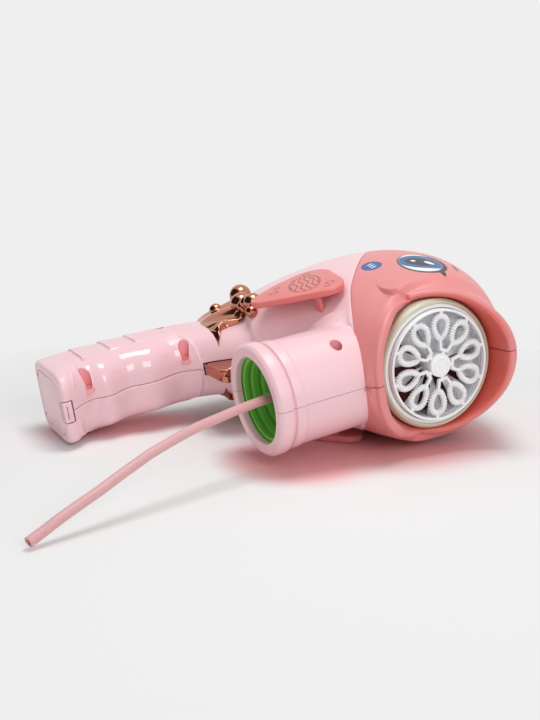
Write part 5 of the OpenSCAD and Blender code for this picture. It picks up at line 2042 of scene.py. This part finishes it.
class Innards:
    """Finishes of the CAD nodes that stay as they are."""

    PLAN = {
        Finishes.GUIDE: ("feed_nozzle", "led_board", "fan_scroll"),
        Finishes.DEEP: ("plenum",),
        Finishes.GREY: ("gear_plate", "fan_rotor", "pump_housing"),
        Finishes.WHITE: ("wheel_gear", "idler_gear", "motor_pinion", "pump_rotor"),
        Finishes.STEEL: ("wheel_shaft", "idler_shaft", "gear_motor", "fan_motor", "pump_rollers",
                         "trigger_spring", "contact_springs", "contact_plate"),
        Finishes.CREAM: ("pump_tube", "inlet_tube", "outlet_tube"),
        Finishes.BLACK: ("trigger_switch", "battery_box"),
        # The screws take the pink-red painted well shade and reflection.
        Finishes.SCREW_WELL_SHADE: ("case_screws",),
        Finishes.RUBBER: ("collar_seal",),
        Finishes.BOARD: ("circuit_board",),
        Finishes.CELL: ("cell_1", "cell_2", "cell_3", "cell_4"),
    }

    def dress(self) -> None:
        """Gives each node its finish."""
        for finish, names in self.PLAN.items():
            for name in names:
                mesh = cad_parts[name].data
                mesh.materials.clear()
                mesh.materials.append(finish.material())
                log.info("%s is finished in %s", name, finish.name)

    def load_spring(self) -> None:
        """Gives the trigger spring a mesh of its own."""
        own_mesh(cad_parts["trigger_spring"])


@dataclass
class Studio:
    """Camera, soft lights and the pale floor."""

    azimuth: float = -26.20
    height: float = 11.66
    distance: float = 459.5
    aside: float = 77.6
    below: float = -2.2
    pale: float = 0.863
    room: float = 0.48
    floor_r: float = 6.0
    floor_tone: float = 0.86
    fade: Point2 = (0.14, 0.30)
    # Painted reddish bounce light and shade on the floor near the toy: centre and radii in millimetres, and
    # tint.
    painted_bounce_pools: tuple[tuple[Point2, Point2, Colour], ...] = (
        ((-66, 52), (38, 20), (0.95, 0.58, 0.59)),
        ((44, -24), (52, 54), (0.84, 0.46, 0.47)),
        ((-12, -42), (32, 34), (0.84, 0.46, 0.47)),
    )
    card: tuple[Point3, ...] = ((-0.7, -0.6, 0.0), (-0.7, 1.6, 0.0), (-0.7, 1.6, 1.3), (-0.7, -0.6, 1.3))
    card_tone: Colour = (0.03, 0.02, 0.02)
    lamps: tuple[tuple[str, Point3, float, float], ...] = (
        ("overhead_soft", (0.0, -0.05, 0.74), 0.3, 2.45),
        ("front_soft", (0.0, -0.95, 0.5), 0.4, 2.65),
    )

    def camera(self) -> None:
        """Sets the camera at the photograph's place."""
        a, e = math.radians(self.azimuth), math.radians(self.height)
        back = Vector((math.sin(a) * math.cos(e), -math.cos(a) * math.cos(e), math.sin(e)))
        right = Vector((math.cos(a), math.sin(a), 0))
        up = back.cross(right)
        data = bpy.data.cameras.new("photo_camera")
        data.lens = 50.0
        data.sensor_width = 36.0
        data.sensor_fit = "AUTO"
        data.clip_start = 0.01
        data.clip_end = 50.0
        cam = bpy.data.objects.new("photo_camera", data)
        turn = Matrix((right, up, back)).transposed().to_4x4()
        place = HUB + back * self.distance - right * self.aside - up * self.below
        cam.matrix_world = Matrix.Translation(place * MM) @ turn
        bpy.context.scene.collection.objects.link(cam)
        bpy.context.scene.camera = cam

    def lamp(self, name: str, place: Sequence[float], size: float, power: float) -> None:
        """Hangs a square soft light that faces the toy.

        Args:
            name: Name of the light.
            place: Where it hangs, in metres.
            size: Edge of the light.
            power: Power in watts.
        """
        data = bpy.data.lights.new(name, "AREA")
        data.shape = "SQUARE"
        data.size = size
        data.energy = power
        obj = bpy.data.objects.new(name, data)
        way = Vector((0.0, 0.0, 0.03)) - Vector(place)
        obj.matrix_world = Matrix.Translation(place) @ way.to_track_quat("-Z", "Y").to_matrix().to_4x4()
        bpy.context.scene.collection.objects.link(obj)

    def stand(self, bm: Mesh, mat: bpy.types.Material, name: str) -> Thing:
        """Puts a mesh on the stage.

        Args:
            bm: Mesh, which is used up.
            mat: Its material.
            name: Name of the object.

        Returns:
            The object.
        """
        mesh = bpy.data.meshes.new(name)
        bm.to_mesh(mesh)
        bm.free()
        mesh.materials.append(mat)
        obj = bpy.data.objects.new(name, mesh)
        bpy.context.scene.collection.objects.link(obj)
        return obj

    def floor(self) -> None:
        """Lays the floor with painted reddish bounce light and shade in pools near the toy; it fades into
        the backdrop's tone away from it.
        """
        mat = bpy.data.materials.new("pale_floor")
        mat.use_nodes = True
        tree = mat.node_tree
        tree.nodes.clear()
        pot = PaintPot(tree)
        place = pot.node("ShaderNodeTexCoord").outputs["Object"]
        colour: object = rgba((self.floor_tone,) * 3)
        # Painted shade: reddish pools of bounce light under and around the toy.
        for centre, radii, paint in self.painted_bounce_pools:
            colour = pot.over(pot.pool(place, centre, radii), colour, rgba(paint))
        matte = pot.node("ShaderNodeBsdfDiffuse")
        tree.links.new(colour, matte.inputs["Color"])
        tone = pot.node("ShaderNodeEmission")
        tone.inputs["Color"].default_value = rgba((self.pale,) * 3)
        mixer = pot.node("ShaderNodeMixShader")
        tree.links.new(pot.fade(pot.far(place), *self.fade), mixer.inputs["Fac"])
        tree.links.new(matte.outputs["BSDF"], mixer.inputs[1])
        tree.links.new(tone.outputs["Emission"], mixer.inputs[2])
        tree.links.new(mixer.outputs["Shader"], pot.node("ShaderNodeOutputMaterial").inputs["Surface"])
        bm = bmesh.new()
        bmesh.ops.create_circle(bm, cap_ends=True, segments=96, radius=self.floor_r)
        self.stand(bm, mat, "floor").location = (0, 0, -0.0002)

    def flag(self) -> None:
        """Stands a dark card to the left, which only shiny surfaces show."""
        mat = bpy.data.materials.new("dark_card")
        mat.use_nodes = True
        shader = mat.node_tree.nodes["Principled BSDF"]
        shader.inputs["Base Color"].default_value = rgba(self.card_tone)
        shader.inputs["Roughness"].default_value = 1.0
        bm = bmesh.new()
        bm.faces.new([bm.verts.new(corner) for corner in self.card])
        obj = self.stand(bm, mat, "dark_card")
        for seen in ("camera", "diffuse", "shadow", "transmission", "volume_scatter"):
            setattr(obj, f"visible_{seen}", False)

    def sky(self) -> None:
        """Gives the world an even soft light and a pale tone to the camera."""
        world = bpy.data.worlds.new("soft_room")
        bpy.context.scene.world = world
        world.use_nodes = True
        tree = world.node_tree
        pot = PaintPot(tree)
        shade = tree.nodes["Background"]
        shade.inputs["Color"].default_value = rgba((1.0, 1.0, 1.0))
        shade.inputs["Strength"].default_value = self.room
        seen = pot.node("ShaderNodeBackground")
        seen.inputs["Color"].default_value = rgba((self.pale,) * 3)
        seen.inputs["Strength"].default_value = 1.0
        path = pot.node("ShaderNodeLightPath")
        mixer = pot.node("ShaderNodeMixShader")
        direct = pot.joined("MAXIMUM", path.outputs["Is Camera Ray"], path.outputs["Is Glossy Ray"])
        direct = pot.joined("MAXIMUM", direct, path.outputs["Is Transmission Ray"])
        tree.links.new(direct, mixer.inputs["Fac"])
        tree.links.new(shade.outputs["Background"], mixer.inputs[1])
        tree.links.new(seen.outputs["Background"], mixer.inputs[2])
        tree.links.new(mixer.outputs["Shader"], tree.nodes["World Output"].inputs["Surface"])

    def set_up(self) -> None:
        """Sets up everything round the toy."""
        self.camera()
        self.sky()
        self.floor()
        self.flag()
        for name, place, size, power in self.lamps:
            self.lamp(name, place, size, power)
        bpy.context.scene.view_settings.view_transform = "Standard"


def main() -> None:
    """Builds the pieces in order and reports each one."""
    logging.basicConfig(level=logging.INFO, format="%(message)s")
    Studio().set_up()
    SuctionHose().build()
    for side in Side:
        CaseHalf(side).build()
        Mask(side).build()
        Fin(side).build()
    TailSplash().build()
    Trigger().build()
    BatteryDoor().build()
    BubbleWheel().build()
    AirGuide().build()
    MouthRings().build()
    innards = Innards()
    innards.dress()
    innards.load_spring()


if __name__ == "__main__":
    main()
